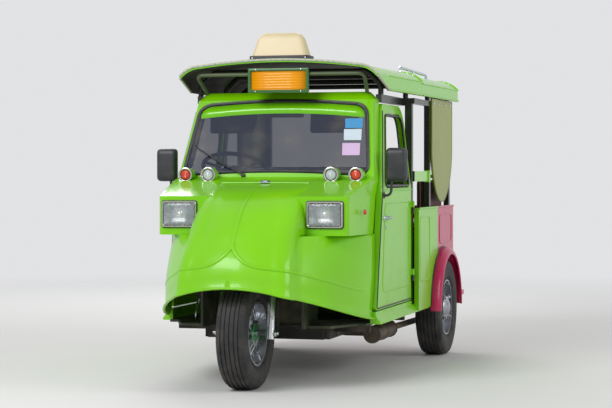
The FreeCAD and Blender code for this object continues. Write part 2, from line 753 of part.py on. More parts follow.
def sign_box():
    """The roof sign: a tapered lamp box with round upper corners, over a base seated on the crown."""
    middle = S.roof_front_y + 82
    foot = S.roof_crown + 14
    top = foot + S.sign_height
    front = middle - 100
    corners = [
        vec(-S.sign_low_half, front, foot), vec(S.sign_low_half, front, foot),
        vec(S.sign_high_half, front, top), vec(-S.sign_high_half, front, top),
    ]
    seen_ahead = Part.Face(rounded_outline(corners, [8, 8, 38, 38])).extrude(vec(0, 200, 0))
    side_corners = [(middle - 54, foot), (middle + 54, foot), (middle + 28, top), (middle - 28, top)]
    seen_beside = across(side_corners, 300)
    return seen_ahead.common(seen_beside)


sign_middle = S.roof_front_y + 82
sign_base = Part.makeBox(316, 124, 34, vec(-158, sign_middle - 62, S.roof_crown - 20)).cut(canopy_front)
sign_base = sign_base.common(Part.makeBox(400, 200, 60, vec(-200, sign_middle - 100, S.roof_crown - 12)))
sign_base = max(sign_base.Solids, key=lambda solid: solid.BoundBox.ZMax)
feature("roof_sign", Part.makeCompound([sign_base, sign_box()]))


def route_board():
    """A blank board in a frame, hung from the hoop under the canopy's peak."""
    back = S.roof_front_y + 38 - S.tube_radius + 4
    board = Part.makeBox(320, 8, 124, vec(-160, back - 8, S.roof_low - 12))
    return board, back


board_shape, board_back = route_board()
panel_hole = Part.makeBox(292, 30, 96, vec(-146, board_back - 20, S.roof_low + 2))
board_frame = Part.makeBox(320, 14, 124, vec(-160, board_back - 14, S.roof_low - 12)).cut(panel_hole)
board_panel = Part.makeBox(292, 6, 96, vec(-146, board_back - 9, S.roof_low + 2))
feature("route_board", Part.makeCompound([board_frame, board_panel]))


def roof_rail():
    """A low chromed rail on the rear canopy, its three feet cut to the roof's curve."""
    x = S.roof_break_half - 134
    top = S.roof_edge + S.shoulder_rise + 34
    low = top - 60
    front = S.roof_break_y + 40
    rear = S.roof_rear_y - 130
    tube = pipe(
        [vec(x, front, low), vec(x, front, top), vec(x, rear, top - 8), vec(x, rear, low)],
        S.rail_tube_radius, 30,
    )
    middle = (front + rear) / 2
    foot = Part.makeCylinder(S.rail_tube_radius - 1, 50, vec(x, middle, top - 54))
    whole = tube.fuse(foot).cut(canopy_rear)
    return max(whole.Solids, key=lambda solid: solid.Volume)


feature("roof_rails", both(roof_rail()))


# Cabin posts and rails
def post_frame():
    """Posts behind the doors, at the middle and at the rear, with the top rails between them."""
    pieces = []
    wide = S.post_width
    post_x = S.door_face - wide
    behind = S.door_rear_y + S.door_gap
    pieces.append(Part.makeBox(wide, wide, RAIL_TOP - FLOOR_TOP, vec(post_x, behind, FLOOR_TOP)))
    pieces.append(Part.makeBox(post_x - DOOR_RAIL_X + 25, wide, 40, vec(DOOR_RAIL_X - 15, behind, RAIL_LOW)))
    front = S.door_front_top_y - S.door_gap
    pieces.append(Part.makeBox(30, behind - front + 5, 40, vec(DOOR_RAIL_X - 15, front, RAIL_LOW)))
    rear_x = REAR_RAIL_X - wide / 2 + 4
    for y in (REAR_AXLE_Y - 290 - wide / 2, S.tail_y - 35 - wide / 2):
        pieces.append(Part.makeBox(30, wide, RAIL_TOP - S.side_top, vec(rear_x, y, S.side_top)))
    pieces.append(Part.makeBox(30, S.tail_y - behind - 16, 30, vec(rear_x, behind, RAIL_TOP - 30)))
    return pieces[0].multiFuse(pieces[1:] + post_knuckles()).removeSplitter()


ARM_RAIL_LOW = 992
arm_rail = Part.makeBox(
    22, REAR_AXLE_Y - 290 - S.door_rear_y - S.door_gap - S.post_width - S.post_width / 2, 56,
    vec(REAR_RAIL_X - 14, S.door_rear_y + S.door_gap + S.post_width, ARM_RAIL_LOW),
)
rear_bar = bar(
    vec(REAR_RAIL_X, REAR_AXLE_Y - 290 + S.post_width / 2, ARM_RAIL_LOW + 28),
    vec(REAR_RAIL_X, S.tail_y - 35 - S.post_width / 2, ARM_RAIL_LOW + 28), 11,
)
feature("cabin_posts", both(post_frame().multiFuse([arm_rail, rear_bar])))


def side_board():
    """A long thin board with a rounded, tapering foot, hung outside the rear posts."""
    x = REAR_RAIL_X - S.post_width / 2 + 34
    front = S.roof_break_y + 262
    rear = S.tail_y - 6
    middle = (front + rear) / 2
    top = S.roof_low - 4
    foot = S.side_top + 32
    waist = foot + 330
    edges = [
        Part.makeLine(vec(x, front, top), vec(x, rear, top)),
        Part.makeLine(vec(x, rear, top), vec(x, rear, waist)),
        Part.Arc(vec(x, rear, waist), vec(x, rear - 62, foot + 120), vec(x, middle + 50, foot)).toShape(),
        Part.makeLine(vec(x, middle + 50, foot), vec(x, middle - 50, foot)),
        Part.Arc(vec(x, middle - 50, foot), vec(x, front + 62, foot + 120), vec(x, front, waist)).toShape(),
        Part.makeLine(vec(x, front, waist), vec(x, front, top)),
    ]
    return Part.Face(Part.Wire(edges)).extrude(vec(10, 0, 0))


feature("side_boards", both(side_board()))


# Rear body
def body_side(front, rear):
    """A length of the rear body side with the opening for the rear wheel."""
    low = vec(S.side_face - S.side_wall, front, FLOOR_TOP)
    side = Part.makeBox(S.side_wall, rear - front, S.side_top - FLOOR_TOP, low)
    opening = Part.makeCylinder(
        S.tyre_radius + S.arch_gap, 200, vec(S.side_face - 100, REAR_AXLE_Y, AXLE_HEIGHT), vec(1, 0, 0),
    )
    return side.cut(opening)


def fender():
    """A round mudguard that stands out over the rear wheel, its outer edge rolled down."""
    face = S.fender_face
    inner_x = S.side_face
    top = S.fender_radius
    curve = S.fender_round
    wall = S.fender_wall
    bend = curve * (1 - math.sqrt(0.5))
    inner_curve = curve - wall
    inner_bend = inner_curve * (1 - math.sqrt(0.5))
    y = REAR_AXLE_Y

    def at(x, radius):
        return vec(x, y - radius, AXLE_HEIGHT)

    edges = [
        Part.makeLine(at(inner_x, top), at(face - curve, top)),
        Part.Arc(at(face - curve, top), at(face - bend, top - bend), at(face, top - curve)).toShape(),
        Part.makeLine(at(face, top - curve), at(face - wall, top - curve)),
        Part.Arc(
            at(face - wall, top - curve),
            at(face - wall - inner_bend, top - wall - inner_bend),
            at(face - curve, top - wall),
        ).toShape(),
        Part.makeLine(at(face - curve, top - wall), at(inner_x, top - wall)),
        Part.makeLine(at(inner_x, top - wall), at(inner_x, top)),
    ]
    section = Part.Face(Part.Wire(edges))
    return section.revolve(vec(0, y, AXLE_HEIGHT), vec(-1, 0, 0), 180)


PANEL_SPLIT = S.roof_break_y + 394
side_panel = body_side(S.door_rear_y + S.door_gap + S.post_width, PANEL_SPLIT)
rear_quarter = body_side(PANEL_SPLIT, S.tail_y - 25)
feature("rear_fenders", both(fender()))

REAR_RAIL_LOW = S.frame_bottom + 130
REAR_FLOOR_LOW = REAR_RAIL_LOW + S.rail_height
REAR_FLOOR_TOP = REAR_FLOOR_LOW + S.floor_thickness
tail_corner = Part.makeBox(S.side_face - 330, 25, S.side_top - FLOOR_TOP, vec(330, S.tail_y - 25, FLOOR_TOP))
tail_low = Part.makeBox(660, 25, 150, vec(-330, S.tail_y - 25, REAR_FLOOR_TOP - 60))
tail = tail_low.multiFuse([tail_corner, mirror(tail_corner), rear_quarter, mirror(rear_quarter)])
feature("tail_panel", tail.removeSplitter())


# Chassis
FLOOR_FRONT = S.door_front_low_y - 60
KICK_Y = REAR_AXLE_Y - 420
REAR_END = S.tail_y - 25
FRAME_Z = "Size.frame_bottom"
REAR_Z = "Size.frame_bottom + 130"
REAR_AXLE = "Size.front_axle_y + Size.wheelbase"
KICK = f"{REAR_AXLE} - 420"
FRAME_FRONT = "Size.door_front_low_y - 60"


def chassis_pieces():
    """Ladder frame: low front rails, raised rear rails, uprights between them and crossmembers."""
    pieces = []
    for name, sign in (("left", 1), ("right", -1)):
        x = f"{sign} * Size.rail_half"
        front_length = f"{KICK} + Size.rail_width / 2 - ({FRAME_FRONT})"
        rear_length = f"Size.tail_y - 25 - ({KICK}) + Size.rail_width / 2"
        pieces.append(block(
            f"front_rail_{name}", "Size.rail_width", front_length, "Size.rail_height",
            x, f"{FRAME_FRONT} + ({front_length}) / 2", FRAME_Z,
        ))
        pieces.append(block(
            f"rear_rail_{name}", "Size.rail_width", rear_length, "Size.rail_height",
            x, f"Size.tail_y - 25 - ({rear_length}) / 2", REAR_Z,
        ))
        pieces.append(block(
            f"kick_{name}", "Size.rail_width", "Size.rail_width", "130",
            x, KICK, FRAME_Z,
        ))
    for name, y, z in (
        ("front", f"{FRAME_FRONT} - 8", FRAME_Z),
        ("middle", "Size.door_rear_y - 420", FRAME_Z),
        ("kick", KICK, REAR_Z),
        ("rear", "Size.tail_y - 45", REAR_Z),
    ):
        pieces.append(block(f"cross_{name}", "2 * Size.rail_half", "40", "Size.rail_height", "0", y, z))
    pieces.append(block("engine_strap", "2 * Size.rail_half", "60", "15", "0", "65", FRAME_Z))
    for name, sign in (("left", 1), ("right", -1)):
        pieces.append(block(
            f"outrigger_front_{name}", "200", "36", "40",
            f"{sign} * (Size.rail_half + 100)", f"{FRAME_FRONT} + 120", f"{FRAME_Z} + 30",
        ))
        pieces.append(block(
            f"outrigger_rear_{name}", "200", "36", "40",
            f"{sign} * (Size.rail_half + 100)", "Size.door_rear_y + 25", f"{FRAME_Z} + 30",
        ))
    return pieces


RAKE = math.radians(S.fork_rake)
STEER_UP = vec(0, math.sin(RAKE), math.cos(RAKE))
STEER_FOOT = vec(0, S.front_axle_y + 45, AXLE_HEIGHT)
CROWN_RUN = (S.crown_height - AXLE_HEIGHT) / math.cos(RAKE)


def head_and_struts():
    """The steering head tube and the two struts that carry it from the rails."""
    low = STEER_FOOT + STEER_UP * (CROWN_RUN + 26)
    length = 88
    outside = bar(low, low + STEER_UP * length, S.stem_radius + S.running_gap + S.head_wall)
    bore = bar(low - STEER_UP * 5, low + STEER_UP * (length + 5), S.stem_radius + S.running_gap)
    struts = []
    for sign in (1, -1):
        top = low + STEER_UP * (length / 2) + vec(sign * 14, 16, 0)
        knee = vec(sign * 60, FLOOR_FRONT - 31, top.z)
        foot = vec(knee.x, knee.y, S.frame_bottom + S.rail_height / 2)
        struts.append(pipe([top, knee, foot], 16, 40))
    return outside.multiFuse(struts).cut(bore)


frame_items = chassis_pieces()
head = doc.addObject("Part::Feature", "steering_head")
head.Shape = head_and_struts()
whole_frame = fuse("chassis_frame", frame_items + [head])
keep("chassis_frame", whole_frame)
doc.recompute()


def floor():
    """The cabin's low floor with openings for the engine and the wheel house, and the raised rear floor."""
    wall = S.floor_thickness
    half = S.door_face - S.door_thickness - 4
    low_rear = KICK_Y + S.rail_width / 2
    low = Part.makeBox(2 * half, low_rear - FLOOR_FRONT, wall, vec(-half, FLOOR_FRONT, FLOOR_BOTTOM))
    low = low.cut(Part.makeBox(380, 420, 60, vec(-190, -145, FLOOR_BOTTOM - 20)))
    foot_outline = [
        vec(262, FLOOR_FRONT, FLOOR_BOTTOM),
        vec(half - 40, FLOOR_FRONT, FLOOR_BOTTOM),
        vec(half - 130, S.lamp_face_y + 60, FLOOR_BOTTOM),
        vec(262, S.lamp_face_y + 60, FLOOR_BOTTOM),
    ]
    foot = prism(foot_outline, vec(0, 0, wall))
    riser_low = vec(-half, low_rear - wall, FLOOR_BOTTOM)
    riser = Part.makeBox(2 * half, wall, REAR_FLOOR_TOP - FLOOR_BOTTOM, riser_low)
    notch_low = vec(-S.rail_half - 30, low_rear - 40, S.frame_bottom)
    riser = riser.cut(Part.makeBox(2 * S.rail_half + 60, 60, S.rail_height + 130, notch_low))
    inner = S.rear_track / 2 - S.tyre_width / 2 - 22
    rear = Part.makeBox(2 * inner, REAR_END - low_rear, wall, vec(-inner, low_rear - wall, REAR_FLOOR_LOW))
    return low.multiFuse([foot, mirror(foot), riser, rear])


def wheel_house():
    """The box over the front wheel that keeps it out of the cabin: two sides, a rear wall and a top."""
    wall = S.floor_thickness
    outer = 262
    top = 752
    front = S.lamp_face_y + S.body_wall + 1
    rear = FLOOR_FRONT
    box = Part.makeBox(2 * outer, rear - front, top - FLOOR_BOTTOM, vec(-outer, front, FLOOR_BOTTOM))
    space_low = vec(-outer + wall, front - wall, FLOOR_BOTTOM)
    space = Part.makeBox(2 * (outer - wall), rear - front, top - FLOOR_BOTTOM - wall, space_low)
    return box.cut(space)


feature("floor_pan", floor().fuse(wheel_house()).removeSplitter().cut(whole_frame.Shape))


def sill():
    """The sill under a door, with its sloped lip standing out."""
    front = S.door_front_low_y - S.door_gap + 0.5
    rear = REAR_AXLE_Y - S.fender_radius - 2
    face = S.door_face
    wall_height = S.door_low - S.door_gap - S.lip_tip
    wall = Part.makeBox(30, rear - front, wall_height, vec(face - 30, front, S.lip_tip))
    edge = face + S.sill_reach
    lip = prism(
        [
            vec(face - 2, front, S.lip_tip),
            vec(edge, front, S.lip_tip),
            vec(edge, front, S.lip_tip + 9),
            vec(face - 2, front, S.lip_tip + 44),
        ],
        vec(0, rear - front, 0),
    )
    return wall.fuse(lip)


left_sill = sill()
posts = nodes["cabin_posts"].Shape
left_side = left_sill.fuse(side_panel)
for other in (nodes["floor_pan"].Shape, posts):
    left_side = left_side.cut(other)
left_side = max(left_side.Solids, key=lambda solid: solid.Volume)
feature("side_panels", both(left_side.removeSplitter()))

# Engine, fuel and exhaust under the floor
keep("engine_block", slab("engine_block", "340", "380", "318", "0", "65", f"{FRAME_Z} + 15", "14"))
keep("fuel_tank", slab(
    "fuel_tank", "420", "230", "120", "0", f"{KICK} + 165", f"{REAR_Z} + Size.rail_height - 120", "30",
))


def exhaust():
    """The silencer beside the left rail, its pipe from the engine and the tail pipe."""
    pipe_radius = 17
    x = S.rear_track / 2 - S.tyre_width / 2 - S.exhaust_gap - pipe_radius
    z = 196
    can = bar(vec(x, -160, z), vec(x, 250, z), 44)
    inlet = pipe([vec(170, -60, 250), vec(230, -60, 196), vec(x, -60, 196)], pipe_radius, 30)
    tail = bar(vec(x, 240, z), vec(x, REAR_END + 20, z - 12), pipe_radius)
    hanger = Part.makeBox(10, 24, FLOOR_BOTTOM - z - 30, vec(x - 5, 60, z + 30))
    return can.multiFuse([inlet, tail, hanger]).cut(nodes["engine_block"].Shape)


doc.recompute()
feature("exhaust", exhaust())


# Rear axle and springs
def rear_axle():
    half = S.rear_track / 2
    housing_end = half - S.tyre_width / 2 - 18
    tube = bar(vec(-housing_end, REAR_AXLE_Y, AXLE_HEIGHT), vec(housing_end, REAR_AXLE_Y, AXLE_HEIGHT), 32)
    stub_end = half + 34
    stub = bar(vec(-stub_end, REAR_AXLE_Y, AXLE_HEIGHT), vec(stub_end, REAR_AXLE_Y, AXLE_HEIGHT), 16)
    ball = Part.makeSphere(88, vec(0, REAR_AXLE_Y, AXLE_HEIGHT))
    ball = ball.common(Part.makeBox(170, 176, 176, vec(-85, REAR_AXLE_Y - 88, AXLE_HEIGHT - 88)))
    shaft = bar(vec(0, 256, S.frame_bottom + 25), vec(0, REAR_AXLE_Y - 60, AXLE_HEIGHT - 6), 18)
    return tube.multiFuse([stub, ball, shaft])


def leaf_spring():
    """A bowed pack of leaves between the raised rail and the axle, with its seat on the axle tube."""
    x = S.rail_half
    reach = 262
    top = REAR_RAIL_LOW
    sag = 16
    thick = 14
    y = REAR_AXLE_Y
    def leaf_arc(drop):
        """The curve of one face of the leaf, so far below the top."""
        ends = [vec(x - 25, y - reach, top - drop), vec(x - 25, y + reach, top - drop)]
        return Part.Arc(ends[0], vec(x - 25, y, top - sag - drop), ends[1]).toShape()

    edges = [
        leaf_arc(0),
        Part.makeLine(vec(x - 25, y + reach, top), vec(x - 25, y + reach, top - thick)),
        leaf_arc(thick),
        Part.makeLine(vec(x - 25, y - reach, top - thick), vec(x - 25, y - reach, top)),
    ]
    pack = Part.Face(Part.Wire(edges)).extrude(vec(50, 0, 0))
    seat = Part.makeBox(50, 60, 60, vec(x - 25, y - 30, top - sag - thick - 50))
    return pack.fuse(seat)


springs = leaf_spring()
feature("rear_axle", rear_axle().multiFuse([springs, mirror(springs)]))


# Wheels
def tyre(name, x, y):
    body = ring(
        f"tyre_{name}", "Size.tyre_radius", "Size.rim_radius", "Size.tyre_width", x, y, "Size.tyre_radius",
        "Size.tyre_shoulder",
    )
    keep(f"{name}_tyre", body)


def wheel_band(x, y):
    """The rim's band with a flange at each edge, centred on x, y."""
    half = S.rim_width / 2
    centre = vec(x - half, y, AXLE_HEIGHT)
    along = vec(1, 0, 0)
    band = Part.makeCylinder(S.rim_radius, S.rim_width, centre, along)
    return band.cut(Part.makeCylinder(S.rim_radius - S.rim_wall, S.rim_width, centre, along))


def front_wheel():
    """A band, a hub with two flanges and crossed wire spokes."""
    y = S.front_axle_y
    middle = vec(0, y, AXLE_HEIGHT)
    hub_half = 48
    hub = bar(middle - vec(hub_half, 0, 0), middle + vec(hub_half, 0, 0), S.hub_radius - 8)
    pieces = [hub]
    for sign in (1, -1):
        start = middle + vec(sign * (hub_half - 8), 0, 0)
        pieces.append(bar(start, start + vec(sign * 8, 0, 0), S.hub_radius + 18))
    spokes = 12
    for sign in (1, -1):
        for count in range(spokes):
            angle = 2 * math.pi * (count + (0.5 if sign < 0 else 0)) / spokes
            lean = 0.22 if count % 2 else -0.22
            inner = vec(sign * (hub_half - 4), 0, 0)
            inner += vec(0, math.cos(angle + lean), math.sin(angle + lean)) * (S.hub_radius + 8)
            outer = vec(sign * 14, 0, 0)
            outer += vec(0, math.cos(angle - lean), math.sin(angle - lean)) * (S.rim_radius - S.rim_wall / 2)
            pieces.append(bar(middle + inner, middle + outer, S.spoke_radius))
    bore = bar(middle - vec(90, 0, 0), middle + vec(90, 0, 0), S.axle_radius + S.running_gap)
    return wheel_band(0, y).multiFuse(pieces).cut(bore)


def rear_wheel(sign):
    """A band, a dished disc and the brake drum, bored for its stub axle."""
    x = sign * S.rear_track / 2
    middle = vec(x, REAR_AXLE_Y, AXLE_HEIGHT)

    def at(offset):
        return middle + vec(sign * offset, 0, 0)

    inner_face = -S.tyre_width / 2 - 10
    disc = bar(at(22), at(22 + S.disc_thickness), S.rim_radius - S.rim_wall / 2)
    drum = bar(at(inner_face), at(26), 104)
    hub = bar(at(20), at(52), S.hub_radius)
    hollow = bar(at(inner_face - 5), at(4), 88)
    core = bar(at(inner_face), at(8), 34)
    solid = wheel_band(x, REAR_AXLE_Y).multiFuse([disc, drum.cut(hollow), hub, core])
    bore = bar(at(inner_face - 5), at(38), 16 + S.running_gap)
    return solid.cut(bore)


tyre("front", "0", "Size.front_axle_y")
feature("front_rim", front_wheel())
for side, sign in (("left", 1), ("right", -1)):
    tyre(f"rear_{side}", f"{sign} * Size.rear_track / 2", REAR_AXLE)
    cap_x = sign * (S.rear_track / 2 + 52)
    cap = Part.makeSphere(90, vec(cap_x - sign * 62, REAR_AXLE_Y, AXLE_HEIGHT))
    half_low = vec(min(cap_x, cap_x + sign * 80), REAR_AXLE_Y - 110, AXLE_HEIGHT - 110)
    outer_half = Part.makeBox(80, 220, 220, half_low)
    feature(f"rear_rim_{side}", rear_wheel(sign).fuse(cap.common(outer_half)))


# Fork and steering
def fork():
    """Two legs with sliders, the crown over the tyre and the steering stem."""
    axle = vec(0, S.front_axle_y, AXLE_HEIGHT)
    pieces = []
    for sign in (1, -1):
        foot = axle + vec(sign * S.fork_leg_half, 0, 0)
        pieces.append(bar(foot - STEER_UP * 30, foot + STEER_UP * 190, S.fork_leg_radius))
        pieces.append(bar(foot + STEER_UP * 180, foot + STEER_UP * (CROWN_RUN + 20), S.fork_tube_radius))
    crown_middle = STEER_FOOT + STEER_UP * CROWN_RUN
    crown = Part.makeBox(2 * S.fork_leg_half + 44, 96, 26, vec(-S.fork_leg_half - 22, -72, -13))
    crown.Placement = FreeCAD.Placement(crown_middle, FreeCAD.Rotation(vec(1, 0, 0), -S.fork_rake))
    pieces.append(crown)
    stem_low = crown_middle + STEER_UP * 10
    pieces.append(bar(stem_low, stem_low + STEER_UP * (S.stem_length - 34), S.stem_radius))
    nut = stem_low + STEER_UP * (S.stem_length - 34)
    pieces.append(bar(nut - STEER_UP * 1, nut + STEER_UP * 12, S.stem_radius + 8))
    return pieces[0].multiFuse(pieces[1:])


pin_half = S.fork_leg_half + S.fork_leg_radius + 8
pin_start = vec(-pin_half, S.front_axle_y, AXLE_HEIGHT)
pin_end = vec(pin_half, S.front_axle_y, AXLE_HEIGHT)
pin = bar(pin_start, pin_end, S.axle_radius)
sleeves = []
for sign in (1, -1):
    near = sign * (48 + S.running_gap)
    far = sign * S.fork_leg_half
    near_end, far_end = vec(near, S.front_axle_y, AXLE_HEIGHT), vec(far, S.front_axle_y, AXLE_HEIGHT)
    sleeves.append(bar(near_end, far_end, S.axle_radius + 4))
feature("front_fork", fork().multiFuse([pin] + sleeves))

WHEEL_X = -292
WHEEL_CENTRE = vec(WHEEL_X, -285, 1052)
COLUMN_DOWN = vec(0, -0.5, -0.866).normalize()


def steering_wheel():
    """A rim, three spokes and a hub on a short shaft."""
    rim = Part.makeTorus(172, 11, WHEEL_CENTRE, COLUMN_DOWN)
    hub = bar(WHEEL_CENTRE - COLUMN_DOWN * 8, WHEEL_CENTRE + COLUMN_DOWN * 46, 30)
    pieces = [hub]
    forward = vec(0, -COLUMN_DOWN.z, COLUMN_DOWN.y)
    for angle in (90, 210, 330):
        turned = math.radians(angle)
        reach = vec(math.cos(turned), 0, 0) + forward * math.sin(turned)
        pieces.append(bar(WHEEL_CENTRE + COLUMN_DOWN * 12, WHEEL_CENTRE + reach * 172, 8))
    return rim.multiFuse(pieces)


feature("steering_wheel", steering_wheel())


def steering_column():
    """The column tube from under the wheel to its foot plate on the floor."""
    top = WHEEL_CENTRE + COLUMN_DOWN * (46 + S.running_gap)
    length = (top.z - FLOOR_TOP - 20) / 0.866
    foot = top + COLUMN_DOWN * length
    tube = bar(top, foot, 19)
    plate = Part.makeBox(54, 110, 40, vec(foot.x - 27, foot.y - 40, FLOOR_TOP))
    return tube.fuse(plate)


feature("steering_column", steering_column().cut(nodes["floor_pan"].Shape))


# Lamps
def head_lamp():
    """A rectangular lamp with a bright frame, standing on the front of its box."""
    low = vec(278, S.lamp_face_y, S.ledge_height + 37)
    frame = Part.makeBox(180, 12, 128, low - vec(0, 12, 0))
    frame = frame.makeFillet(12, [edge for edge in frame.Edges if edge.BoundBox.YLength > 10])
    hollow = Part.makeBox(158, 8, 106, low + vec(11, -14, 11))
    return frame.cut(hollow).cut(cab_outer)


def head_lamp_glass():
    pane = Part.makeBox(157, 10, 105, vec(289.5, S.lamp_face_y - 16, S.ledge_height + 48.5))
    pane = pane.makeFillet(4, [edge for edge in pane.Edges if edge.BoundBox.YMax < S.lamp_face_y - 10])
    return pane.cut(head_lamp())


ROUND_LAMPS = (
    # Columns: name of the glass, distance from the middle, y of its face, height, radius
    ("clear_lamps", 320, S.cowl_y - 16, S.cowl_height + 28, 40),
    ("amber_lamps", 444, S.cowl_y - 6, S.cowl_height + 28, 38),
)
lamp_rings = [head_lamp()]
lenses = {"clear_lamps": [head_lamp_glass()], "amber_lamps": []}
for name, x, y, z, radius in ROUND_LAMPS:
    face = vec(x, y, z)
    case = bar(face, face + vec(0, 70, 0), radius).cut(cab_outer)
    case = max(case.Solids, key=lambda solid: -solid.BoundBox.YMin)
    lens_room = bar(face - vec(0, 1, 0), face + vec(0, 12, 0), radius - 6)
    lamp_rings.append(case.cut(lens_room))
    lens = bar(face - vec(0, 5, 0), face + vec(0, 12, 0), radius - 6.2).cut(cab_outer)
    lenses[name].append(lens)
feature("lamp_frames", Part.makeCompound(lamp_rings + [mirror(shape) for shape in lamp_rings]))

repeater = bar(vec(S.waist_half - 40, -760, 846), vec(S.waist_half + 8, -760, 846), 12).cut(cab_outer)
repeater = max(repeater.Solids, key=lambda solid: solid.BoundBox.XMax)
lenses["amber_lamps"].append(repeater)
for name, shapes in lenses.items():
    feature(name, Part.makeCompound(shapes + [mirror(shape) for shape in shapes]))

tail_lamp = Part.makeBox(90, 22, 190, vec(430, S.tail_y, 560))
tail_lamp = tail_lamp.makeFillet(9, [edge for edge in tail_lamp.Edges if edge.BoundBox.YMax > S.tail_y + 21])
feature("tail_lamps", both(tail_lamp))


# Wiper and what hangs behind the windscreen
def on_screen(x, rise, out):
    return SCREEN_FOOT + vec(x, 0, 0) + SCREEN_SLOPE * rise + SCREEN_OUT * out


wiper_foot = on_screen(-160, 2, 0)
spindle = bar(wiper_foot - SCREEN_OUT * 2, wiper_foot + SCREEN_OUT * 22, 11)
spindle = spindle.cut(cab_outer)
spindle = max(spindle.Solids, key=lambda solid: solid.Volume)
arm = pipe([wiper_foot + SCREEN_OUT * 16, on_screen(-300, 84, 22), on_screen(-352, 112, 20)], 4, 60)
blade = bar(on_screen(-250, 44, 13), on_screen(-442, 168, 13), 5)
wiper_parts = spindle.multiFuse([arm, blade, bar(on_screen(-340, 105, 20), on_screen(-340, 103, 10), 6)])
feature("wiper", wiper_parts.cut(nodes["windscreen_seal"].Shape))

view_low = on_screen(0, SCREEN_RISE - 72, 0)
rear_view = Part.makeBox(200, 16, 48, vec(-100, view_low.y + 34, view_low.z - 24))
view_stem = bar(vec(0, view_low.y + 42, view_low.z + 20), vec(0, view_low.y + 30, HEADER_TOP - 2), 6)
rear_view = rear_view.fuse(view_stem).cut(cab_outer.cut(cab_inner)).cut(nodes["windscreen_seal"].Shape)
feature("interior_mirror", max(rear_view.Solids, key=lambda solid: solid.Volume))


# Dashboard and seats
def dashboard():
    """The shelf under the windscreen, trimmed to the inside of the cab sheet."""
    shelf = Part.makeBox(1060, 130, 150, vec(-530, S.cowl_y + 12, 858))
    shelf = shelf.common(cab_inner)
    pod = bar(vec(WHEEL_X, S.cowl_y + 100, 985), vec(WHEEL_X, S.cowl_y + 175, 1012), 52)
    board = shelf.fuse(pod.cut(cab_outer.cut(cab_inner))).cut(nodes["windscreen_seal"].Shape)
    return max(board.Solids, key=lambda solid: solid.Volume)


feature("dashboard", dashboard())

SEAT_FRONT = -150
SEAT_REAR = 330
SEAT_TOP = 590
SEAT_HALF = S.door_face - S.door_thickness - 12


def seat_box():
    """The hollow box under the driver's bench, over the engine."""
    wall = 12
    low = vec(-SEAT_HALF, SEAT_FRONT, FLOOR_TOP)
    box = Part.makeBox(2 * SEAT_HALF, SEAT_REAR - SEAT_FRONT, SEAT_TOP - FLOOR_TOP, low)
    space = Part.makeBox(
        2 * (SEAT_HALF - wall), SEAT_REAR - SEAT_FRONT - 2 * wall, SEAT_TOP - FLOOR_TOP - wall,
        low + vec(wall, wall, 0),
    )
    box = box.cut(space)
    return box.cut(nodes["cabin_posts"].Shape)


bulkhead = Part.makeBox(2 * SEAT_HALF, 14, 1010 - FLOOR_TOP, vec(-SEAT_HALF, SEAT_REAR + 62, FLOOR_TOP))
feature("driver_seat_box", seat_box())
feature("cabin_bulkhead", bulkhead)
driver_pads = [
    slab(
        "driver_cushion", f"{2 * SEAT_HALF - 30}", "430", "88", "0", f"{SEAT_FRONT + 222}",
        f"{SEAT_TOP} + Size.seat_gap", "30",
    ),
    slab(
        "driver_backrest", f"{2 * SEAT_HALF - 60}", "62 - 2 * Size.seat_gap", "300", "0", f"{SEAT_REAR + 31}",
        f"{SEAT_TOP + 105}", "20",
    ),
]
keep("driver_pads", fuse("driver_pads", driver_pads))

BENCH_FRONT = KICK_Y + 60
BENCH_REAR = REAR_END - 6
BENCH_IN = 290
BENCH_TOP = 690
BENCH_OUT = S.side_face - S.side_wall


def bench_box():
    """One bench: an upright inner panel, its top board and an end, over the wheel."""
    wall = 14
    low = vec(BENCH_IN, BENCH_FRONT, REAR_FLOOR_TOP)
    length = BENCH_REAR - BENCH_FRONT
    height = BENCH_TOP - REAR_FLOOR_TOP
    panel = Part.makeBox(wall, length, height, low)
    board = Part.makeBox(BENCH_OUT - BENCH_IN, length, wall, low + vec(0, 0, height - wall))
    front_end = Part.makeBox(BENCH_OUT - BENCH_IN - 12, wall, height, low)
    return panel.multiFuse([board, front_end]).removeSplitter()


feature("bench_boxes", both(bench_box()))
bench_pads = []
for side, sign in (("left", 1), ("right", -1)):
    bench_pads.append(slab(
        f"bench_cushion_{side}", f"{BENCH_OUT - BENCH_IN - 50}", f"{BENCH_REAR - BENCH_FRONT - 14}", "80",
        f"{sign * ((BENCH_OUT + BENCH_IN) / 2 - 25)}", f"{(BENCH_REAR + BENCH_FRONT) / 2}",
        f"{BENCH_TOP} + Size.seat_gap", "25",
    ))
rest_low = vec(BENCH_OUT - 72, BENCH_FRONT + 40, 790)
back_rest = Part.makeBox(50 - S.seat_gap, BENCH_REAR - BENCH_FRONT - 80, 240, rest_low)
inner_edges = [edge for edge in back_rest.Edges if edge.BoundBox.XMax < BENCH_OUT - 60]
back_rest = back_rest.makeFillet(14, inner_edges)
back_rests = doc.addObject("Part::Feature", "bench_backrests")
back_rests.Shape = both(back_rest)
keep("bench_pads", fuse("bench_pads", bench_pads + [back_rests]))


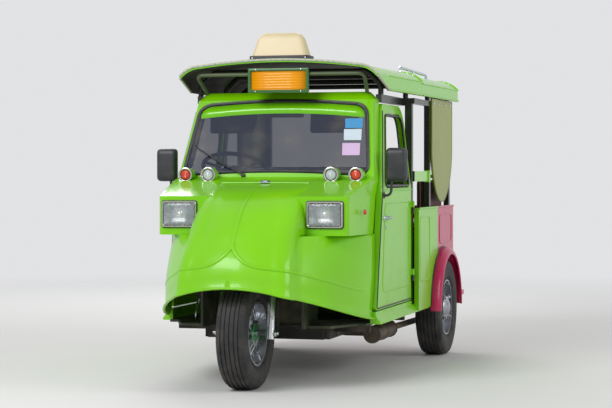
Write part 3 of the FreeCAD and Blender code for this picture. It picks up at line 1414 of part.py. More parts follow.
# Rear step, tow eye and number plate
def rear_step():
    """A flat step on two brackets behind the tail panel, with the tow eye between them."""
    tread = Part.makeBox(1240, 92, 28, vec(-620, S.overall_rear_y - 98, 318))
    tread = tread.makeFillet(13, [edge for edge in tread.Edges if edge.BoundBox.ZLength > 20])
    pieces = [tread]
    for sign in (1, -1):
        arm_low = vec(sign * (S.rail_half + 54) - 20, S.tail_y, 300)
        arm = Part.makeBox(40, S.overall_rear_y - 20 - S.tail_y, 46, arm_low)
        pieces.append(arm)
    eye = Part.makeBox(S.tow_plate, S.overall_rear_y - S.tail_y, 56, vec(-S.tow_plate / 2, S.tail_y, 345))
    centre = vec(0, S.overall_rear_y - 28, 373)
    eye = eye.cut(Part.makeCylinder(S.tow_bore_radius, 60, centre - vec(30, 0, 0), vec(1, 0, 0)))
    pieces.append(eye)
    return tread.multiFuse(pieces[1:])


feature("rear_step", rear_step())

plate = Part.makeBox(240, 4, 130, vec(-120, S.tail_y, 412))
for sign in (1, -1):
    hole_start = vec(sign * S.plate_hole_spacing / 2, S.tail_y - 1, 520)
    plate = plate.cut(bar(hole_start, hole_start + vec(0, 7, 0), S.plate_hole_radius))
feature("number_plate", plate)


doc.recompute()

problems = []
for item in doc.Objects:
    if "Invalid" in item.State or "Error" in item.State:
        problems.append(f"{item.Label}: {item.State}")
for label, item in nodes.items():
    if item.Shape.isNull() or not item.Shape.isValid():
        problems.append(f"{label}: no valid shape")
if problems:
    raise RuntimeError("; ".join(problems))

for label, item in nodes.items():
    item.Shape.exportStep(f"parts/{label}.step")
    print(f"{label}: {len(item.Shape.Solids)} solids, {item.Shape.Volume / 1000:.0f} cm3")
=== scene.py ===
import json
import math

import bmesh
import bpy
from mathutils import Matrix, Vector

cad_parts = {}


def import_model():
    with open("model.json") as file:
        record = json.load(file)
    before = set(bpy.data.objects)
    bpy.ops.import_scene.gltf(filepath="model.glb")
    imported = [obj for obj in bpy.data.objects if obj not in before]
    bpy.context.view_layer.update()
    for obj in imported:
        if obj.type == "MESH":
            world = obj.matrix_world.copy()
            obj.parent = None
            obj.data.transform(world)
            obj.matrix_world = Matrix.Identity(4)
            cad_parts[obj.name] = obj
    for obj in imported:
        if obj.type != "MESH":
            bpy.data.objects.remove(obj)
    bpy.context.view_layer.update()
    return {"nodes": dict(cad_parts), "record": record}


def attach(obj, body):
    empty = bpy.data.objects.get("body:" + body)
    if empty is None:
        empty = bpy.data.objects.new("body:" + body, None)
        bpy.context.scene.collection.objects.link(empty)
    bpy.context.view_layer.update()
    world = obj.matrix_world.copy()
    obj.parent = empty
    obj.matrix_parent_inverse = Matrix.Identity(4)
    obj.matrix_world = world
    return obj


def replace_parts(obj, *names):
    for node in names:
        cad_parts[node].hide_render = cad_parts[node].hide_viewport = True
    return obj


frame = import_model()

# Auto rickshaw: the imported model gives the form, this file gives it its looks.
# Metres. +Z is up, the front faces -Y, the vehicle's left side is +X.


# Materials
class Flow:
    """A number, colour or vector on its way through a material's nodes."""

    def __init__(self, finish, socket):
        self.finish = finish
        self.socket = socket

    def maths(self, operation, *values):
        return self.finish.add("ShaderNodeMath", {"operation": operation}, dict(enumerate(values)))

    def __add__(self, other):
        return self.maths("ADD", self, other)

    def __radd__(self, other):
        return self.maths("ADD", other, self)

    def __sub__(self, other):
        return self.maths("SUBTRACT", self, other)

    def __rsub__(self, other):
        return self.maths("SUBTRACT", other, self)

    def __mul__(self, other):
        return self.maths("MULTIPLY", self, other)

    def __rmul__(self, other):
        return self.maths("MULTIPLY", other, self)

    def __pow__(self, other):
        return self.maths("POWER", self, other)

    def absolute(self):
        return self.maths("ABSOLUTE", self)

    def sine(self):
        return self.maths("SINE", self)

    def ramp(self, low, high):
        """0 below low, 1 above high, smooth between."""
        values = {"Value": self, "From Min": low, "From Max": high}
        return self.finish.add("ShaderNodeMapRange", {"interpolation_type": "SMOOTHSTEP"}, values)


class Finish:
    """A material made from nodes around one Principled shader."""

    def __init__(self, name, **constants):
        self.material = bpy.data.materials.new(name)
        self.material.use_nodes = True
        self.tree = self.material.node_tree
        self.shader = self.tree.nodes["Principled BSDF"]
        for key, value in constants.items():
            self.shader.inputs[key.replace("_", " ").title().replace("Ior", "IOR")].default_value = value
        self.place = self.add("ShaderNodeTexCoord", {}, {}, "Object")

    def add(self, kind, settings, values, output=0):
        """Puts in a node: its settings first, then the values or links of its sockets."""
        node = self.tree.nodes.new(kind)
        for key, value in settings.items():
            setattr(node, key, value)
        for key, value in values.items():
            self.feed(node.inputs[key], value)
        return Flow(self, node.outputs[output])

    def feed(self, socket, value):
        if isinstance(value, Flow):
            self.tree.links.new(value.socket, socket)
        elif isinstance(value, tuple) and len(value) == 3 and socket.type == "RGBA":
            socket.default_value = (*value, 1)
        else:
            socket.default_value = value

    def done(self, **flows):
        """Feeds the shader's varying inputs and gives the material."""
        for key, value in flows.items():
            self.feed(self.shader.inputs[key.replace("_", " ").title()], value)
        return self.material

    def noise(self, scale, detail=3.0, place=None):
        values = {"Vector": place or self.place, "Scale": scale, "Detail": detail, "Roughness": 0.55}
        return self.add("ShaderNodeTexNoise", {}, values)

    def cells(self, scale, feature="F1"):
        return self.add("ShaderNodeTexVoronoi", {"feature": feature}, {"Vector": self.place, "Scale": scale})

    def axis(self, name):
        return self.add("ShaderNodeSeparateXYZ", {}, {0: self.place}, name)

    def stretched(self, x, y, z):
        return self.add("ShaderNodeMapping", {}, {"Vector": self.place, "Scale": (x, y, z)})

    def mix(self, mask, first, second):
        """first where the mask is 0, second where it is 1."""
        return self.add("ShaderNodeMix", {"data_type": "RGBA"}, {"Factor": mask, 6: first, 7: second}, 2)

    def bump(self, height, distance, strength=1.0, under=None):
        values = {"Height": height, "Distance": distance, "Strength": strength}
        if under:
            values["Normal"] = under
        return self.add("ShaderNodeBump", {}, values)


def linear(red, green, blue):
    """A screen colour, 0 to 255, as the linear numbers that a shader takes."""
    return tuple(
        (c / 255 / 12.92) if c <= 10.3 else ((c / 255 + 0.055) / 1.055) ** 2.4 for c in (red, green, blue)
    )


def darker(colour, share):
    return tuple(c * share for c in colour)


DUST = linear(150, 138, 116)
GRIME = linear(38, 33, 26)
GREEN = linear(128, 210, 0)


def paint(name, colour, roughness=0.3, coat=0.3, dust_top=0.75):
    """Hand-finished gloss paint: slow waves, fine dust in patches, road dirt low down."""
    finish = Finish(name, Coat_Roughness=0.07, IOR=1.36, Coat_Ior=1.4)
    height = finish.axis("Z")
    patches = finish.noise(7.0, 4.0)
    fine = finish.noise(90.0, 2.0)
    shade = finish.mix(finish.noise(2.2).ramp(0.3, 0.75), darker(colour, 0.9), colour)
    low = (1 - height.ramp(0.15, dust_top)) * patches.ramp(0.38, 0.72)
    film = low * 0.2 + fine.ramp(0.62, 0.8) * 0.03
    chips = finish.cells(34.0).ramp(0.012, 0.03)
    chipped = (1 - chips) * finish.noise(3.1).ramp(0.6, 0.66)
    dusty = finish.mix(film, shade, DUST)
    return finish.done(
        base_color=finish.mix(chipped * 0.55, dusty, darker(colour, 0.35)),
        roughness=film * 0.55 + patches * 0.06 + roughness - 0.03,
        coat_weight=coat * (1 - film),
        normal=finish.bump(finish.noise(3.4, 1.5), 0.0012, 0.8, finish.bump(fine, 0.00006, 0.4)),
    )


def bright(name, colour, roughness=0.12, grime=0.25):
    """Plated or bare metal with a film of grime in patches."""
    finish = Finish(name, IOR=1.6)
    film = finish.noise(28.0, 4.0).ramp(0.48, 0.78) * grime
    grain = finish.noise(1.0, 3.0, finish.stretched(260, 260, 260))
    return finish.done(
        base_color=finish.mix(film, colour, GRIME),
        metallic=1 - film * 0.7,
        roughness=film * 0.5 + grain * 0.1 + roughness - 0.04,
        normal=finish.bump(grain, 0.00004, 0.5),
    )


def coarse(name, colour, roughness, grain, depth, dust, metal=0.0):
    """Dull paint, cast metal or moulded plastic with a grain and settled dust."""
    finish = Finish(name)
    patches = finish.noise(9.0, 4.0)
    pores = finish.noise(grain, 3.0)
    film = patches.ramp(0.42, 0.75) * dust
    shade = finish.mix(patches, darker(colour, 0.72), colour)
    return finish.done(
        base_color=finish.mix(film, shade, DUST),
        metallic=metal * (1 - film),
        roughness=roughness + film * 0.2 - pores * 0.08,
        normal=finish.bump(pores, depth, 0.7),
    )


def tyre_rubber(name):
    """Worn black rubber, dusty in the tread and browned on the sidewall."""
    finish = Finish(name)
    patches = finish.noise(11.0, 5.0)
    pores = finish.noise(260.0, 2.0)
    film = patches.ramp(0.35, 0.75) * 0.34
    shade = finish.mix(patches, linear(24, 24, 26), linear(42, 42, 45))
    return finish.done(
        base_color=finish.mix(film, shade, linear(104, 98, 88)),
        roughness=film * 0.2 + 0.66 + pores * 0.08,
        normal=finish.bump(pores, 0.00016, 0.6),
    )


def vinyl(name, colour, grain_share=0.6):
    """Seat vinyl: pebbled grain, soft creases darker in their hollows as painted shade, shinier where people
    sit.
    """
    finish = Finish(name, Sheen_Weight=0.12, Sheen_Roughness=0.4, IOR=1.46)
    grain = finish.cells(620.0, "DISTANCE_TO_EDGE").ramp(0.0, 0.22)
    crease = finish.noise(1.0, 4.0, finish.stretched(16, 30, 18))
    worn = finish.noise(5.0, 3.0).ramp(0.45, 0.72)
    # Painted shade: the colour follows the crease bump, darker in its hollows; worn spots are lighter.
    return finish.done(
        base_color=finish.mix(worn * 0.6 + crease * 0.2, darker(colour, 0.75), colour),
        roughness=0.56 - worn * 0.16 - grain * 0.05,
        normal=finish.bump(grain, 0.00012, grain_share, finish.bump(crease, 0.0011, 0.5)),
    )


def glass(name, tint, alpha):
    """Glass that lets the inside show through, stronger at a slant."""
    finish = Finish(name, IOR=1.52, Specular_Ior_Level=0.9)
    slant = finish.add("ShaderNodeLayerWeight", {}, {"Blend": 0.32}, "Facing")
    film = finish.noise(6.0, 4.0).ramp(0.45, 0.8)
    return finish.done(
        base_color=finish.mix(film * 0.4, tint, darker(DUST, 0.7)),
        roughness=film * 0.1 + 0.03,
        alpha=slant * 0.45 + film * 0.05 + alpha,
    )


def lens(name, colour, alpha, ribs_axis="X"):
    """A moulded lens with ribs and a soft sparkle."""
    finish = Finish(name, IOR=1.49, Specular_Ior_Level=0.8)
    ribs = (finish.axis(ribs_axis) * 420.0).sine()
    specks = finish.noise(60.0, 2.0)
    return finish.done(
        base_color=finish.mix(specks.ramp(0.3, 0.7), darker(colour, 0.8), colour),
        roughness=specks * 0.08 + 0.06,
        alpha=specks * 0.06 + alpha,
        normal=finish.bump(ribs, 0.0003, 0.6),
    )


def front_wheel_paint(name):
    """Dull chrome rim and spokes around a painted hub."""
    finish = Finish(name, IOR=1.6)
    across, up = finish.axis("Y") + 1.05, finish.axis("Z") - 0.27
    hub = 1 - (across * across + up * up).ramp(0.0019, 0.0022)
    film = finish.noise(28.0, 4.0).ramp(0.42, 0.75) * 0.45
    return finish.done(
        base_color=finish.mix(film, finish.mix(hub, linear(186, 190, 196), linear(20, 150, 62)), GRIME),
        metallic=(1 - hub) * (1 - film * 0.6),
        roughness=film * 0.4 + 0.24,
        normal=finish.bump(finish.noise(190.0), 0.00006, 0.5),
    )


def lamp_bowl(name):
    """Lamp reflectors: silvered, shaded as deep bowls behind a fluted glass."""
    finish = Finish(name, IOR=1.6)
    across, up = finish.axis("X").absolute() - 0.368, finish.axis("Z") - 0.836
    reach = (across * across + up * up) ** 0.5
    bowl = reach * reach * 5.5 + (finish.axis("X") * 950.0).sine() * 0.00035
    film = finish.noise(40.0, 3.0).ramp(0.5, 0.8)
    rim_share = (1 - reach.ramp(0.01, 0.05)) * 0.8
    return finish.done(
        base_color=finish.mix(rim_share, linear(124, 126, 124), linear(236, 238, 240)),
        metallic=1 - film * 0.3,
        roughness=film * 0.15 + 0.14,
        normal=finish.bump(bowl, 1.0, 1.0),
    )


def striped_post(name):
    """Cabin posts: dark enamel, with the arm rails kept in the body's green."""
    finish = Finish(name, Coat_Roughness=0.08)
    height, along = finish.axis("Z"), finish.axis("Y")
    green = height.ramp(0.985, 0.989) * (1 - height.ramp(1.051, 1.055))
    green = green * along.ramp(0.236, 0.24)
    patches = finish.noise(9.0, 4.0)
    return finish.done(
        base_color=finish.mix(green, finish.mix(patches, linear(22, 26, 22), linear(34, 40, 32)), GREEN),
        roughness=patches * 0.12 + 0.28,
        coat_weight=green * 0.5 + 0.2,
        normal=finish.bump(finish.noise(60.0), 0.0001, 0.5),
    )


def hoop_paint(name):
    """Canopy bows: pale grey-green on the hoop in front of the header, dark under the roof as painted shade.
    """
    finish = Finish(name)
    # Painted shade: behind the header the bows take a dark colour for the shade under the roof.
    behind = finish.axis("Y").ramp(-0.33, -0.31)
    patches = finish.noise(12.0, 4.0)
    hoop_green = finish.mix(patches, linear(70, 84, 50), linear(92, 104, 74))
    return finish.done(
        base_color=finish.mix(behind, hoop_green, linear(38, 38, 28)),
        roughness=patches * 0.15 + 0.42,
        normal=finish.bump(finish.noise(140.0), 0.0001, 0.6),
    )


def shaded_roof(name, colour):
    """Canopy sheet: glossy paint outside; what looks down or inward is dull and painted dark olive as shade
    under the canopy.
    """
    finish = Finish(name, Coat_Roughness=0.08)
    facing = finish.add("ShaderNodeNewGeometry", {}, {}, "Normal")
    down = finish.add("ShaderNodeSeparateXYZ", {}, {0: facing}, "Z")
    sideways = finish.add("ShaderNodeSeparateXYZ", {}, {0: facing}, "X")
    inward = sideways * finish.axis("X")
    # Painted shade: faces that look down or inward get a dark olive colour for the shade under the canopy,
    # and a duller finish.
    under = (1 - down.ramp(-0.3, -0.12)) + (1 - inward.ramp(-0.2, -0.05)) * (1 - down.ramp(0.1, 0.3))
    under = under.ramp(0.0, 1.0)
    patches, fine = finish.noise(7.0, 4.0), finish.noise(90.0, 2.0)
    film = patches.ramp(0.45, 0.8) * down.ramp(0.3, 0.9) * 0.3
    return finish.done(
        base_color=finish.mix(under, finish.mix(film, colour, DUST), linear(44, 40, 26)),
        roughness=under * 0.4 + film * 0.4 + 0.27,
        coat_weight=(1 - under) * 0.5,
        normal=finish.bump(finish.noise(3.2, 1.5), 0.0014, 0.8, finish.bump(fine, 0.00008, 0.4)),
    )


# Each finish: its screen colour if it has one, then what its maker takes
FINISH_TABLE = {
    paint: {
        "green_paint": (128, 210, 0),
        "magenta_paint": (196, 0, 84),
        "sun_strip": (120, 206, 10, 0.2, 0.6, 0.2),
        "frame_green": (60, 112, 62, 0.4, 0.3, 0.2),
        "board_edging": (112, 124, 8, 0.4, 0.3, 0.2),
        "board_paint": (248, 162, 4, 0.4, 0.2, 0.2),
        "yellow_board": (136, 148, 8, 0.4, 0.3, 0.2),
        "seat_base_paint": (70, 112, 20, 0.42, 0.2),
        "plate_metal": (226, 226, 216, 0.4, 0.2),
    },
    # After the colour: roughness, grain, its depth, dust, metal
    coarse: {
        "black_rubber": (26, 27, 30, 0.55, 300.0, 0.00012, 0.12),
        "seal_rubber": (20, 22, 30, 0.42, 260.0, 0.00008, 0.08),
        "sticker_blue": (20, 150, 214, 0.4, 300.0, 0.00003, 0.06),
        "sticker_white": (214, 232, 244, 0.42, 300.0, 0.00003, 0.06),
        "sticker_pink": (226, 190, 236, 0.42, 300.0, 0.00003, 0.06),
        "pale_edging": (196, 202, 176, 0.46, 240.0, 0.0001, 0.1),
        "black_plastic": (44, 46, 52, 0.48, 420.0, 0.0001, 0.15),
        "sign_plastic": (232, 214, 170, 0.42, 160.0, 0.00008, 0.1),
        "chassis_paint": (40, 38, 34, 0.75, 130.0, 0.0004, 0.4),
        "floor_paint": (58, 66, 44, 0.72, 180.0, 0.0003, 0.35),
        "cast_alloy": (120, 118, 112, 0.62, 340.0, 0.0005, 0.4, 0.7),
        "exhaust_steel": (96, 84, 72, 0.6, 150.0, 0.0004, 0.35, 0.6),
        "axle_iron": (48, 46, 44, 0.7, 210.0, 0.0005, 0.4, 0.3),
        "lens_backing": (214, 220, 226, 0.3, 200.0, 0.00006, 0.05, 0.4),
        "dial_white": (222, 222, 210, 0.45, 400.0, 0.00003, 0.05),
        "sign_black": (30, 31, 34, 0.5, 260.0, 0.0001, 0.1),
        "dash_plastic": (34, 34, 36, 0.6, 380.0, 0.00016, 0.2),
    },
    bright: {
        "bulb": (250, 246, 232, 0.1, 0.02),
        "chrome": (196, 204, 216),
        "rim_steel": (168, 172, 178, 0.26, 0.45),
        "fork_steel": (200, 202, 204, 0.22, 0.3),
        "lamp_bright": (186, 184, 176, 0.22, 0.3),
        "mirror_glass": (210, 214, 220, 0.03, 0.05),
    },
    lens: {
        "clear_lens": (206, 215, 226, 0.36),
        "pearl_lens": (222, 227, 238, 0.8),
        "amber_lens": (236, 62, 12, 0.88),
        "red_lens": (176, 10, 8, 0.92, "Z"),
    },
    vinyl: {"visor_vinyl": (22, 27, 32), "seat_vinyl": (96, 22, 30), "seat_piping": (188, 178, 150, 0.3)},
    glass: {"clear_glass": (17, 31, 60, 0.62)},
    shaded_roof: {"green_canopy": (120, 206, 0)},
    lamp_bowl: {"reflector": ()},
    front_wheel_paint: {"wheel_chrome": ()},
    striped_post: {"post_enamel": ()},
    hoop_paint: {"dark_tube": ()},
    tyre_rubber: {"tyre_rubber": ()},
}
FINISHES = {}
for maker, rows in FINISH_TABLE.items():
    for name, row in rows.items():
        colour = [linear(*row[:3])] if row else []
        FINISHES[name] = maker(name, *colour, *row[3:])

# The record's slot of a finish, where its name is another
SLOTS = {
    "reflector": "lamp_bright", "bulb": "lamp_bright", "lens_backing": "lamp_bright",
    "pearl_lens": "clear_lens", "seal_rubber": "black_rubber", "fork_steel": "chrome",
    "visor_vinyl": "seat_vinyl", "pale_edging": "seat_vinyl", "seat_piping": "seat_vinyl",
    "sign_black": "black_plastic", "frame_green": "green_paint", "board_edging": "yellow_board",
    "dial_white": "dash_plastic", "sun_strip": None, "sticker_pink": None, "sticker_white": None,
    "sticker_blue": None,
}

NODE_FINISHES = {
    "front_rim": "wheel_chrome", "cabin_posts": "post_enamel", "interior_mirror": "sticker_white",
}
for part in frame["record"]["subparts"]:
    node = frame["nodes"][part["node"]]
    node.data.materials.clear()
    node.data.materials.append(FINISHES[NODE_FINISHES.get(part["node"], part["material_slot"])])


# Shapes
def flowing(points, steps=6):
    """Points on a smooth curve that passes through the given ones."""
    points = [Vector(p) for p in points]
    line = []
    for n, (here, there) in enumerate(zip(points, points[1:])):
        before = points[n - 1] if n else here * 2 - there
        after = points[n + 2] if n + 2 < len(points) else there * 2 - here
        for step in range(steps):
            t = step / steps
            line.append(0.5 * (
                2 * here + (there - before) * t
                + (2 * before - 5 * here + 4 * there - after) * t * t
                + (3 * here - before - 3 * there + after) * t ** 3
            ))
    return line + [points[-1]]


def between(rows, value):
    """A row of numbers read off a table at a value of its first column, smoothed between the rows."""
    first = max(0, min(len(rows) - 2, sum(1 for row in rows if row[0] <= value) - 1))
    pick = [rows[max(0, min(len(rows) - 1, first + k))] for k in (-1, 0, 1, 2)]
    low, high = pick[1][0], pick[2][0]
    t = (value - low) / (high - low)
    result = []
    for column in range(1, len(rows[0])):
        start, end = pick[1][column], pick[2][column]
        slope_low = (end - pick[0][column]) / (high - pick[0][0]) * (high - low)
        slope_high = (pick[3][column] - start) / (pick[3][0] - low) * (high - low)
        result.append(
            (2 * t ** 3 - 3 * t * t + 1) * start + (t ** 3 - 2 * t * t + t) * slope_low
            + (3 * t * t - 2 * t ** 3) * end + (t ** 3 - t * t) * slope_high
        )
    return result


def rounded(corners, radius, steps=5):
    """A flat outline with its corners rounded; radius is one size or one for each corner."""
    corners = [Vector(p) for p in corners]
    count = len(corners)
    sizes = radius if isinstance(radius, (list, tuple)) else [radius] * count
    outline = []
    for n, corner in enumerate(corners):
        before = (corners[n - 1] - corner).normalized()
        after = (corners[(n + 1) % count] - corner).normalized()
        reach = sizes[n] / math.tan(before.angle(after) / 2)
        start, end = corner + before * reach, corner + after * reach
        for step in range(steps + 1):
            t = step / steps
            outline.append(start * (1 - t) ** 2 + corner * 2 * t * (1 - t) + end * t * t)
    return outline


def upright(x0, x1, z0, z1, y):
    """The corners of an oblong that faces the front."""
    return [(x0, y, z0), (x1, y, z0), (x1, y, z1), (x0, y, z1)]


def lying(x0, x1, y0, y1, z):
    """The corners of a level oblong."""
    return [(x0, y0, z), (x1, y0, z), (x1, y1, z), (x0, y1, z)]


def other_side(points):
    return [Vector((-p.x, p.y, p.z)) for p in points]


def full_turn(steps):
    """The cosine and sine of each step round a circle."""
    return [(math.cos(2 * math.pi * n / steps), math.sin(2 * math.pi * n / steps)) for n in range(steps)]


class Form:
    """The corners and faces of one piece, put together from simple surfaces."""

    def __init__(self):
        self.corners = []
        self.faces = []

    def skin(self, rows, around=False, ends=False):
        """Faces between rows of points; around closes each row, ends closes the first and last row."""
        start = len(self.corners)
        width = len(rows[0])
        for row in rows:
            self.corners.extend(Vector(p) for p in row)
        for r in range(len(rows) - 1):
            for c in range(width if around else width - 1):
                a = start + r * width + c
                b = start + r * width + (c + 1) % width
                self.faces.append((a, b, b + width, a + width))
        if ends:
            last = start + (len(rows) - 1) * width
            self.faces.append(tuple(range(start + width - 1, start - 1, -1)))
            self.faces.append(tuple(range(last, last + width)))
        return self

    def tube(self, path, radius, sides=10, closed=False, flat=1.0):
        """A round bar along a path; flat presses its section in height."""
        path = [Vector(p) for p in path]
        count = len(path)
        rows = []
        side = None
        for n, place in enumerate(path):
            if closed:
                run = path[(n + 1) % count] - path[n - 1]
            else:
                run = path[min(n + 1, count - 1)] - path[max(n - 1, 0)]
            run.normalize()
            if side is None:
                side = run.orthogonal().normalized()
                if abs(run.z) < 0.9:
                    side = run.cross(Vector((0, 0, 1))).normalized()
            side = (side - run * side.dot(run)).normalized()
            size = radius[n] if isinstance(radius, (list, tuple)) else radius
            wide, high = side * size, side.cross(run) * size * flat
            rows.append([place + wide * cosine + high * sine for cosine, sine in full_turn(sides)])
        if closed:
            rows.append(rows[0])
        return self.skin(rows, True, not closed)

    def turned(self, profile, place, axis, steps=32):
        """A profile of (distance along the axis, radius) turned about an axis through place."""
        axis = Vector(axis).normalized()
        side = axis.orthogonal().normalized()
        up = axis.cross(side)
        ring = [side * cosine + up * sine for cosine, sine in full_turn(steps)]
        rows = [[Vector(place) + axis * along + way * radius for way in ring] for along, radius in profile]
        return self.skin(rows, True, True)

    def plate(self, outline, depth):
        """A flat outline given a depth along a vector."""
        depth = Vector(depth)
        return self.skin([outline, [Vector(p) + depth for p in outline]], True, True)

    def block(self, low, high):
        (x0, y0, z0), (x1, y1, z1) = low, high
        return self.plate(lying(x0, x1, y0, y1, z0), (0, 0, z1 - z0))

    def mirrored(self):
        """The same again on the other side."""
        start = len(self.corners)
        self.corners += other_side(self.corners)
        self.faces += [tuple(start + n for n in reversed(face)) for face in self.faces]
        return self

    def join(self, other):
        start = len(self.corners)
        self.corners += other.corners
        self.faces += [tuple(start + n for n in face) for face in other.faces]
        return self

    def piece(self, name, finish, body="chassis", slot=None, bevel=0.0, wall=0.0, sharp=38):
        """Makes the object: welded, smooth but for its sharp edges, riding on its body."""
        mesh = bpy.data.meshes.new(name)
        mesh.from_pydata([tuple(p) for p in self.corners], [], self.faces)
        work = bmesh.new()
        work.from_mesh(mesh)
        bmesh.ops.remove_doubles(work, verts=work.verts, dist=0.00002)
        bmesh.ops.recalc_face_normals(work, faces=work.faces)
        work.to_mesh(mesh)
        work.free()
        mesh.polygons.foreach_set("use_smooth", [True] * len(mesh.polygons))
        mesh.set_sharp_from_angle(angle=math.radians(sharp))
        thing = bpy.data.objects.new(name, mesh)
        bpy.context.scene.collection.objects.link(thing)
        if wall:
            solid = thing.modifiers.new("sheet", "SOLIDIFY")
            solid.thickness = wall
            solid.offset = -1
        if bevel:
            edge = thing.modifiers.new("edges", "BEVEL")
            edge.width = bevel
            edge.segments = 2
            edge.limit_method = "ANGLE"
            edge.angle_limit = math.radians(34)
            edge.harden_normals = True
        mesh.materials.append(FINISHES[finish])
        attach(thing, body)
        slot = slot or SLOTS.get(finish, finish)
        return thing


# Nose and lower front
ARCH_PEAK, ARCH_TIP, ARCH_HALF = 0.5, 0.29, 0.56
TUB_BACK, NOSE_BACK, NOSE_STOP = -0.477, -0.7, -0.708
LEDGE, NOSE_TOP = 0.735, 0.985
# Columns: height, front, half width, corner, bow of the front, half width at the back, bow of the sides
TUB_LINES = (
    (0.22, -1.302, 0.29, 0.08, 0.034, 0.54, 0.06),
    (0.5, -1.302, 0.29, 0.08, 0.034, 0.54, 0.06),
    (0.62, -1.27, 0.284, 0.095, 0.04, 0.538, 0.055),
    (0.735, -1.194, 0.272, 0.105, 0.044, 0.535, 0.05),
)
NOSE_LINES = TUB_LINES[:1] + (
    (0.5, -1.302, 0.29, 0.08, 0.034, 0.29, 0.006),
    (0.62, -1.27, 0.284, 0.095, 0.04, 0.276, 0.006),
    (0.735, -1.194, 0.272, 0.105, 0.044, 0.262, 0.006),
    (0.8, -1.136, 0.268, 0.105, 0.044, 0.262, 0.006),
    (0.862, -1.072, 0.26, 0.1, 0.04, 0.258, 0.006),
    (0.915, -0.986, 0.252, 0.085, 0.032, 0.254, 0.005),
    (0.956, -0.872, 0.245, 0.06, 0.022, 0.248, 0.004),
    (0.985, -0.73, 0.238, 0.012, 0.006, 0.242, 0.002),
)


def arch_height(x):
    """The lower edge of the front, an arc from tip to tip over the wheel."""
    rise = ARCH_PEAK - ARCH_TIP
    radius = (ARCH_HALF ** 2 + rise ** 2) / 2 / rise
    if abs(x) >= ARCH_HALF:
        return ARCH_TIP
    return ARCH_PEAK - radius + math.sqrt(radius ** 2 - x * x)


def meeting(low, high, below, tries):
    """Closes in on the value at which below turns from true to false, and gives its two bounds."""
    for _ in range(tries):
        middle = (low + high) / 2
        if below(middle):
            low = middle
        else:
            high = middle
    return low, high


def door_edge(z):
    """The front edge of the door at a height."""
    if z < 0.95:
        return -0.637 + (z - 0.357) / 0.593 * 0.129
    return -0.508 + (z - 0.95) / 0.442 * 0.208


def front_half_line(front, half, corner, bow, z):
    """From the middle of the nose round to the end of its corner."""
    centre = Vector((half - corner, front + corner, z))
    radius = ((half - corner) ** 2 + bow ** 2) / 2 / bow
    line = []
    for step in range(12):
        x = (half - corner) * step / 12
        line.append(Vector((x, front - bow + radius - math.sqrt(radius ** 2 - x * x), z)))
    for step in range(10):
        angle = math.pi / 2 * step / 9
        line.append(centre + Vector((math.sin(angle), -math.cos(angle), 0)) * corner)
    return line


def level_line(lines, back, stop, z):
    """The left half of the front at a height, from its middle round the corner and back to where it stops."""
    front, half, corner, bow, back_half, side_bow = between(lines, z)
    line = front_half_line(front, half, corner, bow, z)
    start = line[-1]
    run = Vector((back_half, back, z)) - start
    out = Vector((-run.y, run.x, 0)).normalized() * -side_bow
    if out.x < 0:
        out = -out

    def at(t):
        return start + run * t + out * 4 * t * (1 - t)

    reach = meeting(0.0, 1.0, lambda t: at(t).y < stop, 30)[0]
    return line + [at(reach * step / 14) for step in range(1, 15)]


def tub_line(z):
    return level_line(TUB_LINES, TUB_BACK, door_edge(z) - 0.007, z)


def nose_line(z):
    return level_line(NOSE_LINES, NOSE_BACK, NOSE_STOP, z)


def lower_edge(column):
    """The height at which one upright line of the tub meets the arch."""
    return meeting(0.25, 0.6, lambda z: z < arch_height(tub_line(z)[column].x), 24)[1]


def on_front(x, z, lines=tub_line):
    """The point of the front at a distance from the middle and a height, and its outward direction."""
    line = lines(z)
    for before, after in zip(line, line[1:]):
        if before.x <= x <= after.x + 1e-9:
            share = (x - before.x) / max(after.x - before.x, 1e-9)
            run = after - before
            out = Vector((run.y, -run.x, 0)).normalized() * (1 if run.x >= 0 else -1)
            return before.lerp(after, share), out
    return line[-1], Vector((1, 0, 0))


def flared(row, lows, reach=0.009, height=0.048):
    """Turns the lowest strip of the sheet outward into its lip."""
    result = []
    for column, place in enumerate(row):
        before, after = row[max(column - 1, 0)], row[min(column + 1, len(row) - 1)]
        out = Vector((after.y - before.y, before.x - after.x, 0)).normalized()
        share = max(0.0, 1 - (place.z - lows[column]) / height)
        result.append(place + out * reach * share ** 2)
    return result


def front_skin():
    """The nose and the lower front as one smooth sheet with its ledge and its flared lip."""
    columns = len(tub_line(LEDGE))
    lows = [lower_edge(column) for column in range(columns)]
    rows = []
    levels = 30
    for level in range(levels + 1):
        share = (level / levels) ** 1.5
        row = [tub_line(lows[c] + (LEDGE - lows[c]) * share)[c] for c in range(columns)]
        rows.append(flared(row, lows))
    heights = [LEDGE + (NOSE_TOP - LEDGE) * (1 - (1 - n / levels) ** 1.3) for n in range(levels + 1)]
    upper = [nose_line(z) for z in heights]
    skin = Form()
    skin.skin(rows)
    skin.skin(upper)
    outer = [p for p in rows[-1] if -1.095 < p.y < -0.88]
    side = [p for p in upper[0] if p.x > 0.2]
    inner = []
    for place in outer:
        nearest = min(side, key=lambda p: abs(p.y - place.y))
        inner.append(Vector((nearest.x - 0.001, place.y, LEDGE)))
    skin.skin([outer, inner])
    return skin.mirrored(), rows[0]


skin, lip = front_skin()
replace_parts(skin.piece("nose_skin", "green_paint", wall=0.007, sharp=50), "nose_shell")
lip_bead = Form().tube(other_side(reversed(lip)) + lip[1:], 0.0062, 10)
lip_bead.piece("nose_lip_bead", "green_paint")

